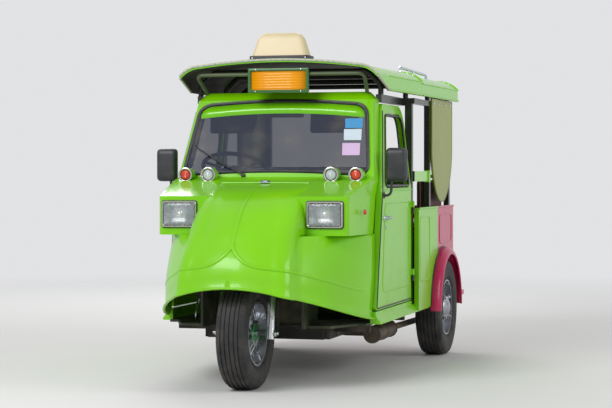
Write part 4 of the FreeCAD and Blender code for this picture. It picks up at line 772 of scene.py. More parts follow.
# Columns: distance from the middle, height of the pressed bead that runs round the front above the lip
BEAD_LINE = (
    (0.0, 0.7), (0.012, 0.672), (0.04, 0.64), (0.08, 0.613), (0.13, 0.596), (0.2, 0.586),
    (0.25, 0.58), (0.285, 0.57), (0.33, 0.552), (0.4, 0.522), (0.46, 0.49), (0.505, 0.462),
)
beads = Form()
path = []
for spot in flowing([(x, 0, z) for x, z in BEAD_LINE]):
    place, out = on_front(spot.x, spot.z)
    path.append(place - out * 0.0062)
beads.tube(path, [0.0125 - 0.0035 * n / len(path) for n in range(len(path))], 14)
beads.mirrored()
ridge = []
for n in range(26):
    place, _ = on_front(0.0, 0.672 + (0.968 - 0.672) * n / 25, nose_line)
    ridge.append(place - Vector((0, -0.85, 0.5 * n / 25)).normalized() * 0.006)
beads.tube(ridge, [0.0085 + 0.0045 * math.sin(math.pi * min(1, (n + 3) / 28)) for n in range(26)], 12)
beads.piece("nose_beads", "green_paint")

BONNET_EDGE = (
    (-0.225, -0.728, 0.9865), (-0.12, -0.731, 0.9875), (0.12, -0.731, 0.9875), (0.225, -0.728, 0.9865),
)
Form().tube(BONNET_EDGE, 0.0045, 8).piece("bonnet_edge", "green_paint")
latch = Form()
corners = [
    (-0.026, -0.742, 0.9885), (0.026, -0.742, 0.9885), (0.026, -0.716, 0.9945), (-0.026, -0.716, 0.9945),
]
latch.plate(rounded(corners, 0.008), (0, 0, 0.005))
latch.turned([(0, 0.009), (0.006, 0.009), (0.008, 0.006)], (0, -0.729, 0.994), (0, -0.2, 1), 20)
latch.piece("bonnet_latch", "chrome", bevel=0.0008)


# Lamps
frame_form, gasket_form, bowl_form, glass_form, bulb_form = (Form() for _ in range(5))


def head_lamp():
    """The rectangular lamp: a bright frame with a gasket, a stepped reflector, a bulb and a fluted glass."""
    x0, x1, z0, z1, face = 0.278, 0.458, 0.772, 0.9, -0.972

    def loops(rows):
        return [
            rounded(upright(x0 + inset, x1 - inset, z0 + inset, z1 - inset, face + depth), radius, 6)
            for inset, depth, radius in rows
        ]

    frame_form.skin(loops((
        (0.0, 0.012, 0.014), (0.0, 0.002, 0.014), (0.0025, -0.0015, 0.013), (0.007, -0.0015, 0.011),
        (0.0105, 0.003, 0.01), (0.011, 0.011, 0.01),
    )), around=True)
    gasket_form.skin(loops((
        (-0.004, 0.0135, 0.017), (-0.004, 0.0085, 0.017), (0.001, 0.007, 0.014),
    )), around=True)
    middle = Vector(((x0 + x1) / 2, 0, (z0 + z1) / 2))
    outline = loops([(0.0112, 0.01, 0.01)])[0]
    rings = []
    for step in range(9):
        share = step / 8
        y = face + 0.0085 + 0.0025 * math.sin(share * math.pi / 2)
        size = 1 - share * 0.93
        rings.append([
            (middle.x + (p.x - middle.x) * size, y, middle.z + (p.z - middle.z) * size) for p in outline
        ])
    bowl_form.skin(rings, around=True)
    bulb = [(0, 0.0125), (0.002, 0.012), (0.004, 0.009), (0.005, 0.004)]
    bulb_form.turned(bulb, (middle.x, face + 0.01, middle.z), (0, -1, 0), 24)
    rows = []
    columns, levels = 60, 26
    for level in range(levels + 1):
        v = level / levels * 2 - 1
        z = middle.z + v * (z1 - z0 - 0.023) / 2
        pane = 0.0005 if abs(v - 0.34) < 0.03 or abs(v + 0.34) < 0.03 else 0
        row = []
        for column in range(columns + 1):
            u = column / columns * 2 - 1
            dome = 0.0055 * (1 - u ** 4) * (1 - v ** 4)
            flute = 0.0007 * abs(math.sin(u * math.pi * 9)) * (1 if abs(v) < 0.92 and abs(u) < 0.95 else 0)
            row.append((middle.x + u * (x1 - x0 - 0.023) / 2, face + 0.002 - dome - flute - pane, z))
        rows.append(row)
    glass_form.skin(rows)


head_lamp()

# Columns: distance from the middle, y of the face, height, radius
ROUND_LAMPS = ((0.32, -0.666, 1.028, 0.04), (0.444, -0.656, 1.028, 0.038))
# Distance along the axis, step in from the lamp's radius
LAMP_RING = (
    (-0.0065, 0.0015), (-0.0035, 0.0), (-0.0005, 0.001), (0.0012, 0.004), (0.0012, 0.0075),
    (-0.0008, 0.0105), (-0.004, 0.012), (-0.0065, 0.0122),
)
LAMP_GASKET = ((-0.0055, 0.0118), (-0.0045, 0.015), (-0.006, 0.016))
LAMP_CASE = ((-0.06, 0.003), (-0.006, 0.002))
amber_form, clear_form, case_form, round_bowl_form = (Form() for _ in range(4))
for lens_form, (x, y, z, radius) in zip((clear_form, amber_form), ROUND_LAMPS):
    for form, profile, steps in (
        (case_form, LAMP_CASE, 40), (frame_form, LAMP_RING, 40), (gasket_form, LAMP_GASKET, 36),
    ):
        form.turned([(along, radius - inset) for along, inset in profile], (x, y, z), (0, -1, 0), steps)
    inner = radius - 0.0145
    dome = [(-0.006, inner)]
    for step in range(13):
        share = 1 - step / 12
        ripple = 0.0007 * (step % 2)
        dome.append((-0.0045 + 0.0055 * math.sqrt(1 - share * share) + ripple, inner * share + 0.0001))
    lens_form.turned(dome, (x, y, z), (0, -1, 0), 36)
    round_bowl_form.turned([(-0.0064, inner + 0.001), (-0.0062, 0.004)], (x, y, z), (0, -1, 0), 24)
    bulb_form.turned([(-0.0062, 0.0065), (-0.005, 0.006), (-0.0035, 0.003)], (x, y, z), (0, -1, 0), 18)
REPEATER = [(-0.01, 0.0125), (0.0, 0.0125), (0.002, 0.0105), (0.0035, 0.006)]
amber_form.turned(REPEATER, (0.522, -0.76, 0.846), (1, 0, 0), 24)
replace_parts(frame_form.mirrored().piece("lamp_rings", "lamp_bright"), "lamp_frames")
gasket_form.mirrored().piece("lamp_gaskets", "black_rubber")
bowl_form.mirrored().piece("lamp_reflectors", "reflector", sharp=20)
bulb_form.mirrored().piece("lamp_bulbs", "bulb")
round_bowl_form.mirrored().piece("round_lamp_reflectors", "lens_backing")
case_form.mirrored().piece("round_lamp_cases", "green_paint", slot="lamp_bright")
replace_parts(glass_form.mirrored().piece("lamp_glasses", "clear_lens", sharp=25), "clear_lamps")
clear_form.mirrored().piece("round_lamp_glasses", "pearl_lens", sharp=25)
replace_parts(amber_form.mirrored().piece("signal_lenses", "amber_lens"), "amber_lamps")


# Tail lamps: a housing, three lens fields with ribs and two screws
tail_case, tail_red, tail_amber, tail_screws = (Form() for _ in range(4))
for low, high, lens_form in (
    (0.564, 0.63, tail_red), (0.632, 0.682, tail_amber), (0.684, 0.746, tail_red),
):
    rows = []
    for level in range(15):
        z = low + (high - low) * level / 14
        row = []
        for column in range(13):
            u = column / 12 * 2 - 1
            crown = 0.008 * (1 - abs(u) ** 3) + 0.0006 * (level % 2)
            row.append((0.475 + u * 0.04, 1.2285 + crown * (0.55 if level in (0, 14) else 1), z))
        rows.append(row)
    lens_form.skin(rows)
tail_case.skin([
    rounded(upright(0.43, 0.52, 0.56, 0.75, 1.2145), 0.012),
    rounded(upright(0.43, 0.52, 0.56, 0.75, 1.228), 0.012),
    rounded(upright(0.434, 0.516, 0.564, 0.746, 1.229), 0.01),
], around=True, ends=True)
for z in (0.576, 0.734):
    tail_screws.turned([(0, 0.0045), (0.002, 0.0045), (0.0032, 0.003)], (0.475, 1.2355, z), (0, 1, 0), 16)
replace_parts(tail_red.mirrored().piece("tail_lamp_red", "red_lens", sharp=25), "tail_lamps")
tail_amber.mirrored().piece("tail_lamp_amber", "amber_lens", sharp=25)
tail_case.mirrored().piece("tail_lamp_housings", "black_plastic")
tail_screws.mirrored().piece("tail_lamp_screws", "chrome")


# Windscreen
SCREEN_FOOT = Vector((0, -0.568, 1.018))
SCREEN_UP = Vector((0, 0.183, 0.394)).normalized()
SCREEN_OUT = Vector((0, -SCREEN_UP.z, SCREEN_UP.y))


def on_screen(x, rise, out=0.0):
    return SCREEN_FOOT + Vector((x, 0, 0)) + SCREEN_UP * rise + SCREEN_OUT * out


def screen_loop(inset, out):
    """The windscreen's outline, drawn in by inset and standing out from the glass."""
    places = [
        (0.494 - inset, 0.0045 + inset, 0.06 - inset), (0.448 - inset, 0.4104 - inset, 0.085 - inset),
        (0.0, 0.4464 - inset, 3.3), (-0.448 + inset, 0.4104 - inset, 0.085 - inset),
        (-0.494 + inset, 0.0045 + inset, 0.06 - inset), (0.0, 0.0265 + inset, 6.6),
    ]
    corners = [on_screen(x, rise, out) for x, rise, _ in places]
    return rounded(corners, [size for _, _, size in places], 14)


# Columns: step in from the glass's edge, height over the glass
RUBBER_SECTION = (
    (-0.001, -0.006), (-0.001, 0.007), (0.003, 0.0105), (0.0065, 0.01), (0.0075, 0.008),
    (0.0085, 0.01), (0.012, 0.01), (0.0155, 0.007), (0.017, 0.0015), (0.017, -0.006),
)
rubber = Form().skin([screen_loop(inset, out) for inset, out in RUBBER_SECTION], around=True)
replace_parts(rubber.piece("screen_rubber", "seal_rubber"), "windscreen_seal")

FILM_HEIGHT = 0.0034
upper = [p for p in screen_loop(0.0175, FILM_HEIGHT) if (p - SCREEN_FOOT).dot(SCREEN_UP) > 0.34]
upper.sort(key=lambda p: p.x)
lower = [on_screen(p.x * 0.992, 0.33 + 0.026 * (1 - (p.x / 0.43) ** 2), FILM_HEIGHT) for p in upper]
Form().skin([lower, upper]).piece("sun_strip", "sun_strip", wall=0.0006)

for low, high, colour in (
    (0.118, 0.186, "sticker_pink"), (0.202, 0.264, "sticker_white"), (0.27, 0.324, "sticker_blue"),
):
    corners = [
        on_screen(x, rise, FILM_HEIGHT)
        for x, rise in ((0.342, low), (0.432, low), (0.428, high), (0.336, high))
    ]
    Form().plate(rounded(corners, 0.004), SCREEN_OUT * 0.0004).piece(colour + "_label", colour)

visors, visor_rods = Form(), Form()
for side in (-1, 1):
    corners = [
        on_screen(side * x, rise, -0.038)
        for x, rise in ((0.15, 0.262), (0.385, 0.262), (0.4, 0.392), (0.14, 0.392))
    ]
    visors.plate(rounded(corners, 0.018), SCREEN_OUT * 0.012)
    visor_rods.tube([on_screen(side * x, 0.398, -0.034) for x in (0.06, 0.41)], 0.004, 8)
    for x in (0.1, 0.37):
        visor_rods.tube([on_screen(side * x, 0.398, -0.034), on_screen(side * x, 0.436, -0.04)], 0.005, 8)
visors.piece("sun_visors", "visor_vinyl", bevel=0.004)
visor_rods.piece("visor_rods", "chrome")


# Wiper: a capped pivot, a pressed arm with its spring end, a bridge with claws and the rubber blade
arm = Form()
pivot = on_screen(-0.16, 0.002)
PIVOT_CAP = [(-0.012, 0.012), (0.012, 0.012), (0.014, 0.01), (0.02, 0.009), (0.024, 0.006)]
arm.turned(PIVOT_CAP, pivot, SCREEN_OUT, 20)
elbow, tip = on_screen(-0.3, 0.084, 0.022), on_screen(-0.345, 0.109, 0.02)
spring = [pivot + SCREEN_OUT * 0.018, pivot.lerp(elbow, 0.33) + SCREEN_OUT * 0.022]
arm.tube(spring, [0.0085, 0.007], 10, flat=0.6)
arm.tube([pivot.lerp(elbow, 0.32) + SCREEN_OUT * 0.022, elbow, tip], 0.0036, 8, flat=0.6)
start, end = on_screen(-0.25, 0.044), on_screen(-0.442, 0.168)
bridge = [
    start.lerp(end, t) + SCREEN_OUT * (0.013 + 0.008 * math.sin(math.pi * t))
    for t in (0.06, 0.2, 0.35, 0.5, 0.65, 0.8, 0.94)
]
arm.tube(bridge, 0.0032, 8, flat=0.7)
for t in (0.06, 0.35, 0.65, 0.94):
    place = start.lerp(end, t)
    top = SCREEN_OUT * 0.02 * (1 if 0.2 < t < 0.8 else 0.7)
    arm.tube([place + top, place + SCREEN_OUT * 0.008], 0.0022, 6)
arm.turned([(-0.006, 0.006), (0.006, 0.006)], tip + SCREEN_OUT * -0.002, (1, 0, 0.3), 12)
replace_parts(arm.piece("wiper_arm", "black_plastic"), "wiper")
# Columns of the blade's section: height over the glass, step up the glass
BLADE_SECTION = ((0.0035, 0.0), (0.0095, 0.001), (0.01, 0.004), (0.0075, 0.0045), (0.0035, 0.0008))
rows = [[p + SCREEN_OUT * out + SCREEN_UP * up for p in (start, end)] for out, up in BLADE_SECTION]
Form().skin(rows).piece("wiper_blade", "seal_rubber", wall=0.0003)


# Wheels
TYRE_RADIUS, RIM_RADIUS, TYRE_HALF = 0.27, 0.158, 0.075
FRONT_HUB = Vector((0, -1.05, TYRE_RADIUS))
LEFT_HUB = Vector((0.54, 0.9, TYRE_RADIUS))
RIGHT_HUB = Vector((-0.54, 0.9, TYRE_RADIUS))
# Columns of the sidewall: share of the half width, height over the rim
SIDEWALL = (
    (0.62, -0.006), (0.74, 0.004), (0.86, 0.018), (0.9, 0.02), (0.93, 0.026), (0.985, 0.044), (1, 0.062),
    (0.992, 0.07), (0.996, 0.072), (0.975, 0.084), (0.92, 0.098),
)
# Columns of the shoulder: share of the half width, depth under the tread
SHOULDER = ((0.86, 0.0095), (0.76, 0.0035), (0.66, 0.001))


def tyre(name, node, body, centre):
    """A road tyre: ribbed tread with cross cuts, round shoulders and ringed sidewalls."""
    section = [(TYRE_HALF * share, RIM_RADIUS + rise) for share, rise in SIDEWALL]
    section += [(TYRE_HALF * share, TYRE_RADIUS - depth) for share, depth in SHOULDER]
    for share in (0.57, 0.3):
        groove = TYRE_HALF * share
        top, deep = TYRE_RADIUS - 0.0008 * share, TYRE_RADIUS - 0.0055
        section += [
            (groove + 0.0036, top), (groove + 0.0024, deep), (groove - 0.0024, deep), (groove - 0.0036, top),
        ]
    section += [(0.0034, TYRE_RADIUS), (0.0022, TYRE_RADIUS - 0.0055)]
    whole = [(-x, r) for x, r in section] + [(x, r) for x, r in reversed(section)]
    rows = []
    for step, (cosine, sine) in enumerate(full_turn(144)):
        row = []
        for x, r in whole:
            notched = TYRE_HALF * 0.64 < abs(x) < TYRE_HALF * 0.9 and r > TYRE_RADIUS - 0.014
            reach = r - (0.003 if step % 3 == 0 and notched else 0.0)
            row.append(centre + Vector((x, sine * reach, cosine * reach)))
        rows.append(row)
    tread = Form().skin(rows + rows[:1])
    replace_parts(tread.piece(name, "tyre_rubber", body, sharp=30), node)


tyre("front_tread", "front_tyre", "front_wheel", FRONT_HUB)
tyre("rear_left_tread", "rear_left_tyre", "rear_wheel_left", LEFT_HUB)
tyre("rear_right_tread", "rear_right_tyre", "rear_wheel_right", RIGHT_HUB)

VALVE = [(-0.012, 0.005), (0.012, 0.004), (0.013, 0.0052), (0.022, 0.0048), (0.023, 0.003)]
for word, centre, side in (("left", LEFT_HUB, 1), ("right", RIGHT_HUB, -1)):
    nuts = Form()
    for number in range(4):
        angle = math.pi / 4 + number * math.pi / 2
        place = centre + Vector((side * 0.058, math.cos(angle) * 0.078, math.sin(angle) * 0.078))
        nuts.turned([(-0.012, 0.013), (0.0015, 0.013), (0.002, 0.0125)], place, (side, 0, 0), 20)
        nuts.turned([(0.0, 0.009), (0.01, 0.009), (0.0125, 0.007)], place, (side, 0, 0), 6)
    nuts.turned(VALVE, centre + Vector((side * 0.05, 0.0, 0.136)), (side, 0, -0.25), 12)
    nuts.piece(f"{word}_wheel_nuts", "fork_steel", f"rear_wheel_{word}", slot="fork_steel", bevel=0.0006)

nipples = Form()
for number in range(24):
    angle = 2 * math.pi * (number + 0.5) / 24
    foot = FRONT_HUB + Vector((0.012 * (-1) ** number, 0, 0))
    nipples.turned([(0.134, 0.0048), (0.1485, 0.0044)], foot, (0, math.cos(angle), math.sin(angle)), 8)
nipples.turned([(0.118, 0.0042), (0.146, 0.0034)], FRONT_HUB + Vector((0.03, 0, 0)), (0.2, 0.35, -1), 12)
nipples.piece("spoke_nipples", "fork_steel", "front_wheel", slot="fork_steel")

RAKE = math.radians(12)
STEER_UP = Vector((0, math.sin(RAKE), math.cos(RAKE)))
STEER_BACK = STEER_UP.cross(Vector((1, 0, 0)))
COIL_TURNS, COIL_STEPS = 11, 14
SPRING_SEATS = (
    [(0.226, 0.0205), (0.23, 0.027), (0.242, 0.027), (0.246, 0.0205)],
    [(0.464, 0.015), (0.466, 0.028), (0.478, 0.028), (0.484, 0.018)],
)
coils, fork_bits = Form(), Form()
for side in (-1, 1):
    foot = FRONT_HUB + Vector((side * 0.122, 0, 0))
    path = []
    for n in range(COIL_TURNS * COIL_STEPS + 1):
        angle = 2 * math.pi * n / COIL_STEPS
        rise = 0.245 + 0.215 * n / (COIL_TURNS * COIL_STEPS)
        across_axis = Vector((math.cos(angle), 0, 0)) + STEER_BACK * math.sin(angle)
        path.append(foot + STEER_UP * rise + across_axis * 0.0245)
    coils.tube(path, 0.0036, 8)
    for seat in SPRING_SEATS:
        fork_bits.turned(seat, foot, STEER_UP, 28)
    nut_place = foot + Vector((side * 0.0205, 0, 0))
    fork_bits.turned([(0.0, 0.0), (0.0, 0.0165), (0.009, 0.0165), (0.011, 0.014)], nut_place, (side, 0, 0), 6)
    fork_bits.turned([(0.011, 0.0085), (0.021, 0.0085), (0.022, 0.007)], nut_place, (side, 0, 0), 16)
coils.piece("fork_springs", "chassis_paint", "fork")
fork_bits.piece("fork_fittings", "fork_steel", "fork", slot="fork_steel", bevel=0.0008)


# Canopy, sign and boards
def arc_through(first, middle, last, steps):
    """Points on the circle through three points, from the first to the last."""
    first, middle, last = Vector(first), Vector(middle), Vector(last)
    a, b = middle - first, last - first
    normal = a.cross(b)
    reach = normal.cross(a) * b.length_squared + b.cross(normal) * a.length_squared
    to_centre = reach / (2 * normal.length_squared)
    centre = first + to_centre
    turn = (first - centre).angle(last - centre)
    if (middle - first).dot(to_centre) < 0 or (first - centre).angle(middle - centre) > turn:
        turn = 2 * math.pi - turn
    normal.normalize()
    spin = Matrix.Rotation(turn, 3, normal)
    if (centre + spin @ (first - centre) - last).length > 0.001:
        turn = -turn
    spins = [Matrix.Rotation(turn * n / steps, 3, normal) for n in range(steps + 1)]
    return [centre + spin @ (first - centre) for spin in spins]


def canopy_half(y):
    if y < 0.36:
        return 0.524 + (y + 0.512) / 0.872 * 0.044
    return 0.568 + (y - 0.36) / 0.875 * 0.032


def roof_line(y, lower_by=0.0, lift=0.0):
    """The canopy's outside at y, from one upper edge over the crown to the other, lifted along the way up."""
    half = canopy_half(y) + lift
    edge = 1.534 - lower_by
    top = edge + 0.05 + lift
    inner = half - 0.11 - lift
    bend = (half + inner) / 2 + 0.01, y, (edge + top) / 2 + 0.01
    shoulder = arc_through((half, y, edge), bend, (inner, y, top), 8)
    crest = arc_through((inner, y, top), (0, y, 1.612 - lower_by + lift), (-inner, y, top), 30)
    return shoulder[:-1] + crest + other_side(reversed(shoulder))[1:]


trim, moulding, studs = Form(), Form(), Form()
front_line = roof_line(-0.513)
trim.tube(front_line, 0.0068, 10)
for side in (1, -1):
    peak = [(side * 0.524, -0.512, 1.527), (side * 0.5275, -0.44, 1.506), (side * 0.535, -0.294, 1.461)]
    trim.tube(flowing(peak, 5), 0.0062, 8)
STUD = [(0.0, 0.0042), (0.0016, 0.004), (0.003, 0.0022)]
length = 0.0
for before, after in zip(front_line, front_line[1:]):
    step = (after - before).length
    while length < step:
        place = before.lerp(after, length / step)
        studs.turned(STUD, place + Vector((0, -0.0055, 0)), (0, -1, 0), 10)
        length += 0.03
    length -= step
for y, lower_by in ((0.3605, 0.0), (1.234, 0.01)):
    moulding.tube(roof_line(y, lower_by, 0.001), 0.006, 10)
for side in (1, -1):
    for start, end, lower_by in ((-0.29, 0.355, 0.0), (0.365, 1.235, 0.01)):
        stations = [start + (end - start) * n / 10 for n in range(11)]
        gutter = [Vector((side * (canopy_half(y) + 0.002), y, 1.463)) for y in stations]
        moulding.tube(gutter, 0.0055, 8)
        moulding.tube([(p.x, p.y, 1.534 - lower_by) for p in gutter], 0.0036, 8)
trim.piece("visor_edging", "pale_edging")
studs.piece("visor_studs", "fork_steel")
moulding.piece("canopy_mouldings", "green_paint", slot="green_canopy")

rivets = Form()
for y, lower_by in ((0.344, 0.0), (0.376, 0.01), (1.214, 0.01)):
    for place in roof_line(y, lower_by)[4:-4:2]:
        rivets.turned([(0.0, 0.0042), (0.0014, 0.004), (0.0024, 0.002)], place, (place.x * 0.25, 0, 1), 10)
rivets.piece("canopy_rivets", "fork_steel")

ribs = Form()
for x, start, end, lower_by in (
    (0.0, -0.33, 0.32, 0.0), (0.0, 0.4, 1.19, 0.01), (0.15, 0.4, 1.19, 0.01),
    (0.3, -0.33, 0.32, 0.0), (0.3, 0.4, 1.19, 0.01),
):
    path = []
    for n in range(15):
        y = start + (end - start) * n / 14
        nearest = min(roof_line(y, lower_by), key=lambda p: abs(p.x - x))
        path.append(Vector((x, y, nearest.z - 0.0035)))
    swell = [math.sin(math.pi * min(max(n, 0.6), 13.4) / 14) ** 0.4 for n in range(15)]
    ribs.tube(path, [0.002 + 0.0055 * share for share in swell], 10)
ribs.mirrored().piece("canopy_ribs", "green_paint", slot="green_canopy")


# Roof sign: a cream lamp box with round shoulders on a dark base
sign, sign_base, sign_bolts = Form(), Form(), Form()
SIGN_Y, SIGN_Z = -0.43, 1.626


def sign_oblong(half, deep, z):
    """The corners of a level oblong round the sign's middle."""
    return [
        (x, SIGN_Y + y, z) for x, y in ((half, -deep), (half, deep), (-half, deep), (-half, -deep))
    ]


def sign_ring(share, inset=0.0):
    """The sign's plan outline at a share of its height."""
    shoulder = max(0.0, (share - 0.7) / 0.3)
    pull = 0.034 * (1 - math.sqrt(max(0.0, 1 - shoulder ** 2)))
    half = 0.148 - 0.036 * share - pull - inset
    deep = 0.054 - 0.026 * share - pull * 0.35 - inset
    return rounded(sign_oblong(half, deep, SIGN_Z + 0.1255 * share), min(0.02, deep * 0.8), 6)


levels = (0.02, 0.06, 0.2, 0.4, 0.6, 0.7, 0.78, 0.85, 0.9, 0.94, 0.97, 0.99, 1.0)
sign.skin([sign_ring(0.0, 0.004)] + [sign_ring(share) for share in levels], around=True, ends=True)
sign.tube(rounded(sign_oblong(0.15, 0.057, SIGN_Z + 0.003), 0.02, 6), 0.0036, 8, closed=True)
outline = rounded(sign_oblong(0.158, 0.062, 1.612), 0.018, 6)
# Columns: share of the width, share of the depth, height
TRAY = (0.992, 0.985, 1.63), (0.985, 0.97, 1.6345), (0.968, 0.95, 1.635), (0.95, 0.91, 1.627)
tray = [[(p.x * wide, SIGN_Y + (p.y - SIGN_Y) * deep, z) for p in outline] for wide, deep, z in TRAY]
skirt = [(p.x, p.y, 1.6075 - 0.16 * p.x * p.x) for p in outline]
sign_base.skin([skirt, outline] + tray, around=True, ends=True)
SIGN_BOLT = [(0.0, 0.005), (0.003, 0.005), (0.0042, 0.0036)]
for x in (-0.135, 0.135):
    for y in (-0.047, 0.047):
        sign_bolts.turned(SIGN_BOLT, (x * 1.04, SIGN_Y + y * 1.28, 1.623), (0, y, 0), 6)
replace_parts(sign.piece("sign_lamp", "sign_plastic"), "roof_sign")
sign_base.piece("sign_base", "sign_black")
sign_bolts.piece("sign_bolts", "fork_steel")


# Blank route board under the peak: a corrugated orange sheet in a green frame
board, surround, hangers = Form(), Form(), Form()
back = -0.4848 + 0.0008
rows = []
for level in range(61):
    z = 1.46 + 0.096 * level / 60
    ripple = 0.0009 * math.sin(level / 60 * math.pi * 14)
    rows.append([(x, back - 0.0045 + ripple, z) for x in (-0.146, -0.05, 0.05, 0.146)])
board.skin(rows)
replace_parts(board.piece("route_board_sheet", "board_paint", wall=0.0012), "route_board")
# Columns of the frame's section: step in, distance in front of the board's back
FRAME_SECTION = (0.0, 0.0), (0.0, 0.013), (0.0025, 0.0145), (0.0115, 0.0145), (0.0145, 0.01), (0.0145, 0.0)
surround.skin([
    rounded(upright(inset - 0.16, 0.16 - inset, 1.446 + inset, 1.57 - inset, back - front), 0.006, 3)
    for inset, front in FRAME_SECTION
], around=True)
surround.piece("route_board_frame", "frame_green")
BOARD_SCREW = [(0.0, 0.004), (0.0022, 0.004), (0.0034, 0.0024)]
for x in (-0.12, 0.12):
    for z in (1.452, 1.564):
        hangers.turned(BOARD_SCREW, (x, back - 0.0142, z), (0, -1, 0), 12)
hangers.piece("route_board_screws", "fork_steel")


# Doors
def door_face(y, z, out=0.0):
    """A point on the left door's outside, or standing out from it."""
    lean = max(0.0, (z - 0.95) / (1.392 - 0.95)) * 0.05
    return Vector((0.545 - lean + out, y, z))


DOOR_X, HANDLE_Z = 0.545, 0.811
EDGE_HEIGHTS = (0.372, 0.5, 0.65, 0.8, 0.93, 0.97, 1.1, 1.25, 1.355)
WINDOW = ((-0.428, 0.972), (0.13, 0.972), (0.13, 1.336), (-0.262, 1.336))
WINDOW_CORNERS = [0.028, 0.028, 0.08, 0.036]
PRESSING = ((-0.5, 0.44), (0.13, 0.44), (0.13, 0.885), (-0.44, 0.885))
LEVER = ((0.573, -0.487, 0.811), (0.5745, -0.45, 0.812), (0.5745, -0.415, 0.812), (0.571, -0.389, 0.8105))
LEVER_POST = ((-0.002, 0.0135), (0.002, 0.0135), (0.006, 0.0085), (0.024, 0.0065), (0.027, 0.006))
DOOR_LOCK = ((-0.001, 0.0125), (0.003, 0.0125), (0.005, 0.01), (0.0052, 0.003), (0.004, 0.0028))
MIRROR_ARM = ((0.5445, -0.47, 0.925), (0.566, -0.47, 0.926), (0.582, -0.47, 0.944), (0.586, -0.47, 1.0))
MIRROR_FOOT = ((-0.001, 0.0165), (0.003, 0.0165), (0.006, 0.011))
MIRROR_X, MIRROR_Z = 0.609, 1.079
INNER_PULL = ((0.5135, 0.02, 0.835), (0.5, 0.025, 0.835), (0.5, 0.105, 0.835), (0.5135, 0.11, 0.835))


def mirror_loop(y, swell=1.0):
    """The mirror's outline at y, shrunk towards its middle by swell."""
    wide, high = 0.054 * swell, 0.085 * swell
    corners = upright(MIRROR_X - wide, MIRROR_X + wide, MIRROR_Z - high, MIRROR_Z + high, y)
    return rounded(corners, 0.022 * swell, 5)


def drawn_in(loop, y, wide, high):
    """The mirror's outline drawn in by its own shares of the width and the height."""
    return [(MIRROR_X + (p.x - MIRROR_X) * wide, y, MIRROR_Z + (p.z - MIRROR_Z) * high) for p in loop]


def dress_door(side, word):
    strips, seals, handle, housing, mirror_face, beads = (Form() for _ in range(6))
    strips.tube([door_face(door_edge(z) + 0.006, z, 0.0004) for z in EDGE_HEIGHTS], 0.0042, 8)
    strips.tube([door_face(y, 0.3655, 0.0002) for y in (-0.615, -0.3, 0.0, 0.17)], 0.0042, 8)
    corners = [door_face(y, z, 0.0012) for y, z in WINDOW]
    seals.tube(rounded(corners, WINDOW_CORNERS, 7), 0.0062, 10, closed=True)
    inner = [p - Vector((0.03, 0, 0)) for p in corners]
    seals.tube(rounded(inner, WINDOW_CORNERS, 7), 0.0055, 8, closed=True)
    pressing = [door_face(y, z, -0.0028) for y, z in PRESSING]
    beads.tube(rounded(pressing, 0.045, 7), 0.0058, 10, closed=True)
    beads.tube([door_face(y, 0.95, -0.0016) for y in (-0.49, -0.2, 0.0, 0.178)], 0.0055, 10)
    thickness = [0.005 + 0.0035 * math.sin(math.pi * n / 15) for n in range(16)]
    handle.tube(flowing(LEVER, 5), thickness, 12, flat=0.75)
    for y in (-0.466, -0.4):
        handle.turned(LEVER_POST, (DOOR_X, y, HANDLE_Z), (1, 0, 0), 18)
    handle.turned(DOOR_LOCK, (DOOR_X, -0.433, 0.766), (1, 0, 0), 22)
    housing.tube(flowing(MIRROR_ARM, 5), 0.0068, 10)
    housing.turned(MIRROR_FOOT, (DOOR_X, -0.47, 0.925), (1, 0, 0), 20)
    angles = [math.pi / 2 * step / 10 for step in range(10)]
    shell = [mirror_loop(-0.456 - 0.034 * math.sin(angle), math.cos(angle) ** 0.25) for angle in angles]
    rim = mirror_loop(-0.45)
    housing.skin([drawn_in(rim, -0.4535, 0.9, 0.935), rim] + shell, around=True, ends=True)
    mirror_face.plate(drawn_in(rim, -0.453, 0.89, 0.93), (0, 0.0012, 0))
    housing.tube(flowing(INNER_PULL, 4), 0.006, 10)
    for label, form, finish in (
        ("edge_strips", strips, "seal_rubber"), ("window_seals", seals, "seal_rubber"),
        ("handle", handle, "chrome"), ("mirror", housing, "black_plastic"),
        ("mirror_glass", mirror_face, "mirror_glass"), ("pressings", beads, "green_paint"),
    ):
        if side < 0:
            form.corners = other_side(form.corners)
        thing = form.piece(f"{word}_door_{label}", finish, f"{word}_door")
        if label == "mirror":
            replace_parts(thing, f"door_fittings_{word}")


dress_door(1, "left")
dress_door(-1, "right")


# Seats
def settled(thing):
    """Fixes the result of a piece's modifiers into its mesh."""
    shown = thing.evaluated_get(bpy.context.evaluated_depsgraph_get())
    mesh = bpy.data.meshes.new_from_object(shown)
    mesh.name = thing.name
    thing.modifiers.clear()
    thing.data = mesh
    for polygon in mesh.polygons:
        polygon.use_smooth = True


def pad_start(name, low, high, inset):
    """The plump block a pad is blown up from: the room it may fill, drawn in on the crowned sides."""
    start_low = Vector(low) + Vector(inset[0])
    start_high = Vector(high) - Vector(inset[1])
    thing = Form().block(start_low, start_high).piece(name, "seat_vinyl")
    edge = thing.modifiers.new("edges", "BEVEL")
    edge.width = 0.013
    edge.segments = 3
    edge.limit_method = "ANGLE"
    mesh = thing.modifiers.new("even", "REMESH")
    mesh.mode = "VOXEL"
    mesh.voxel_size = 0.009
    mesh.use_smooth_shade = True
    settled(thing)
    return thing


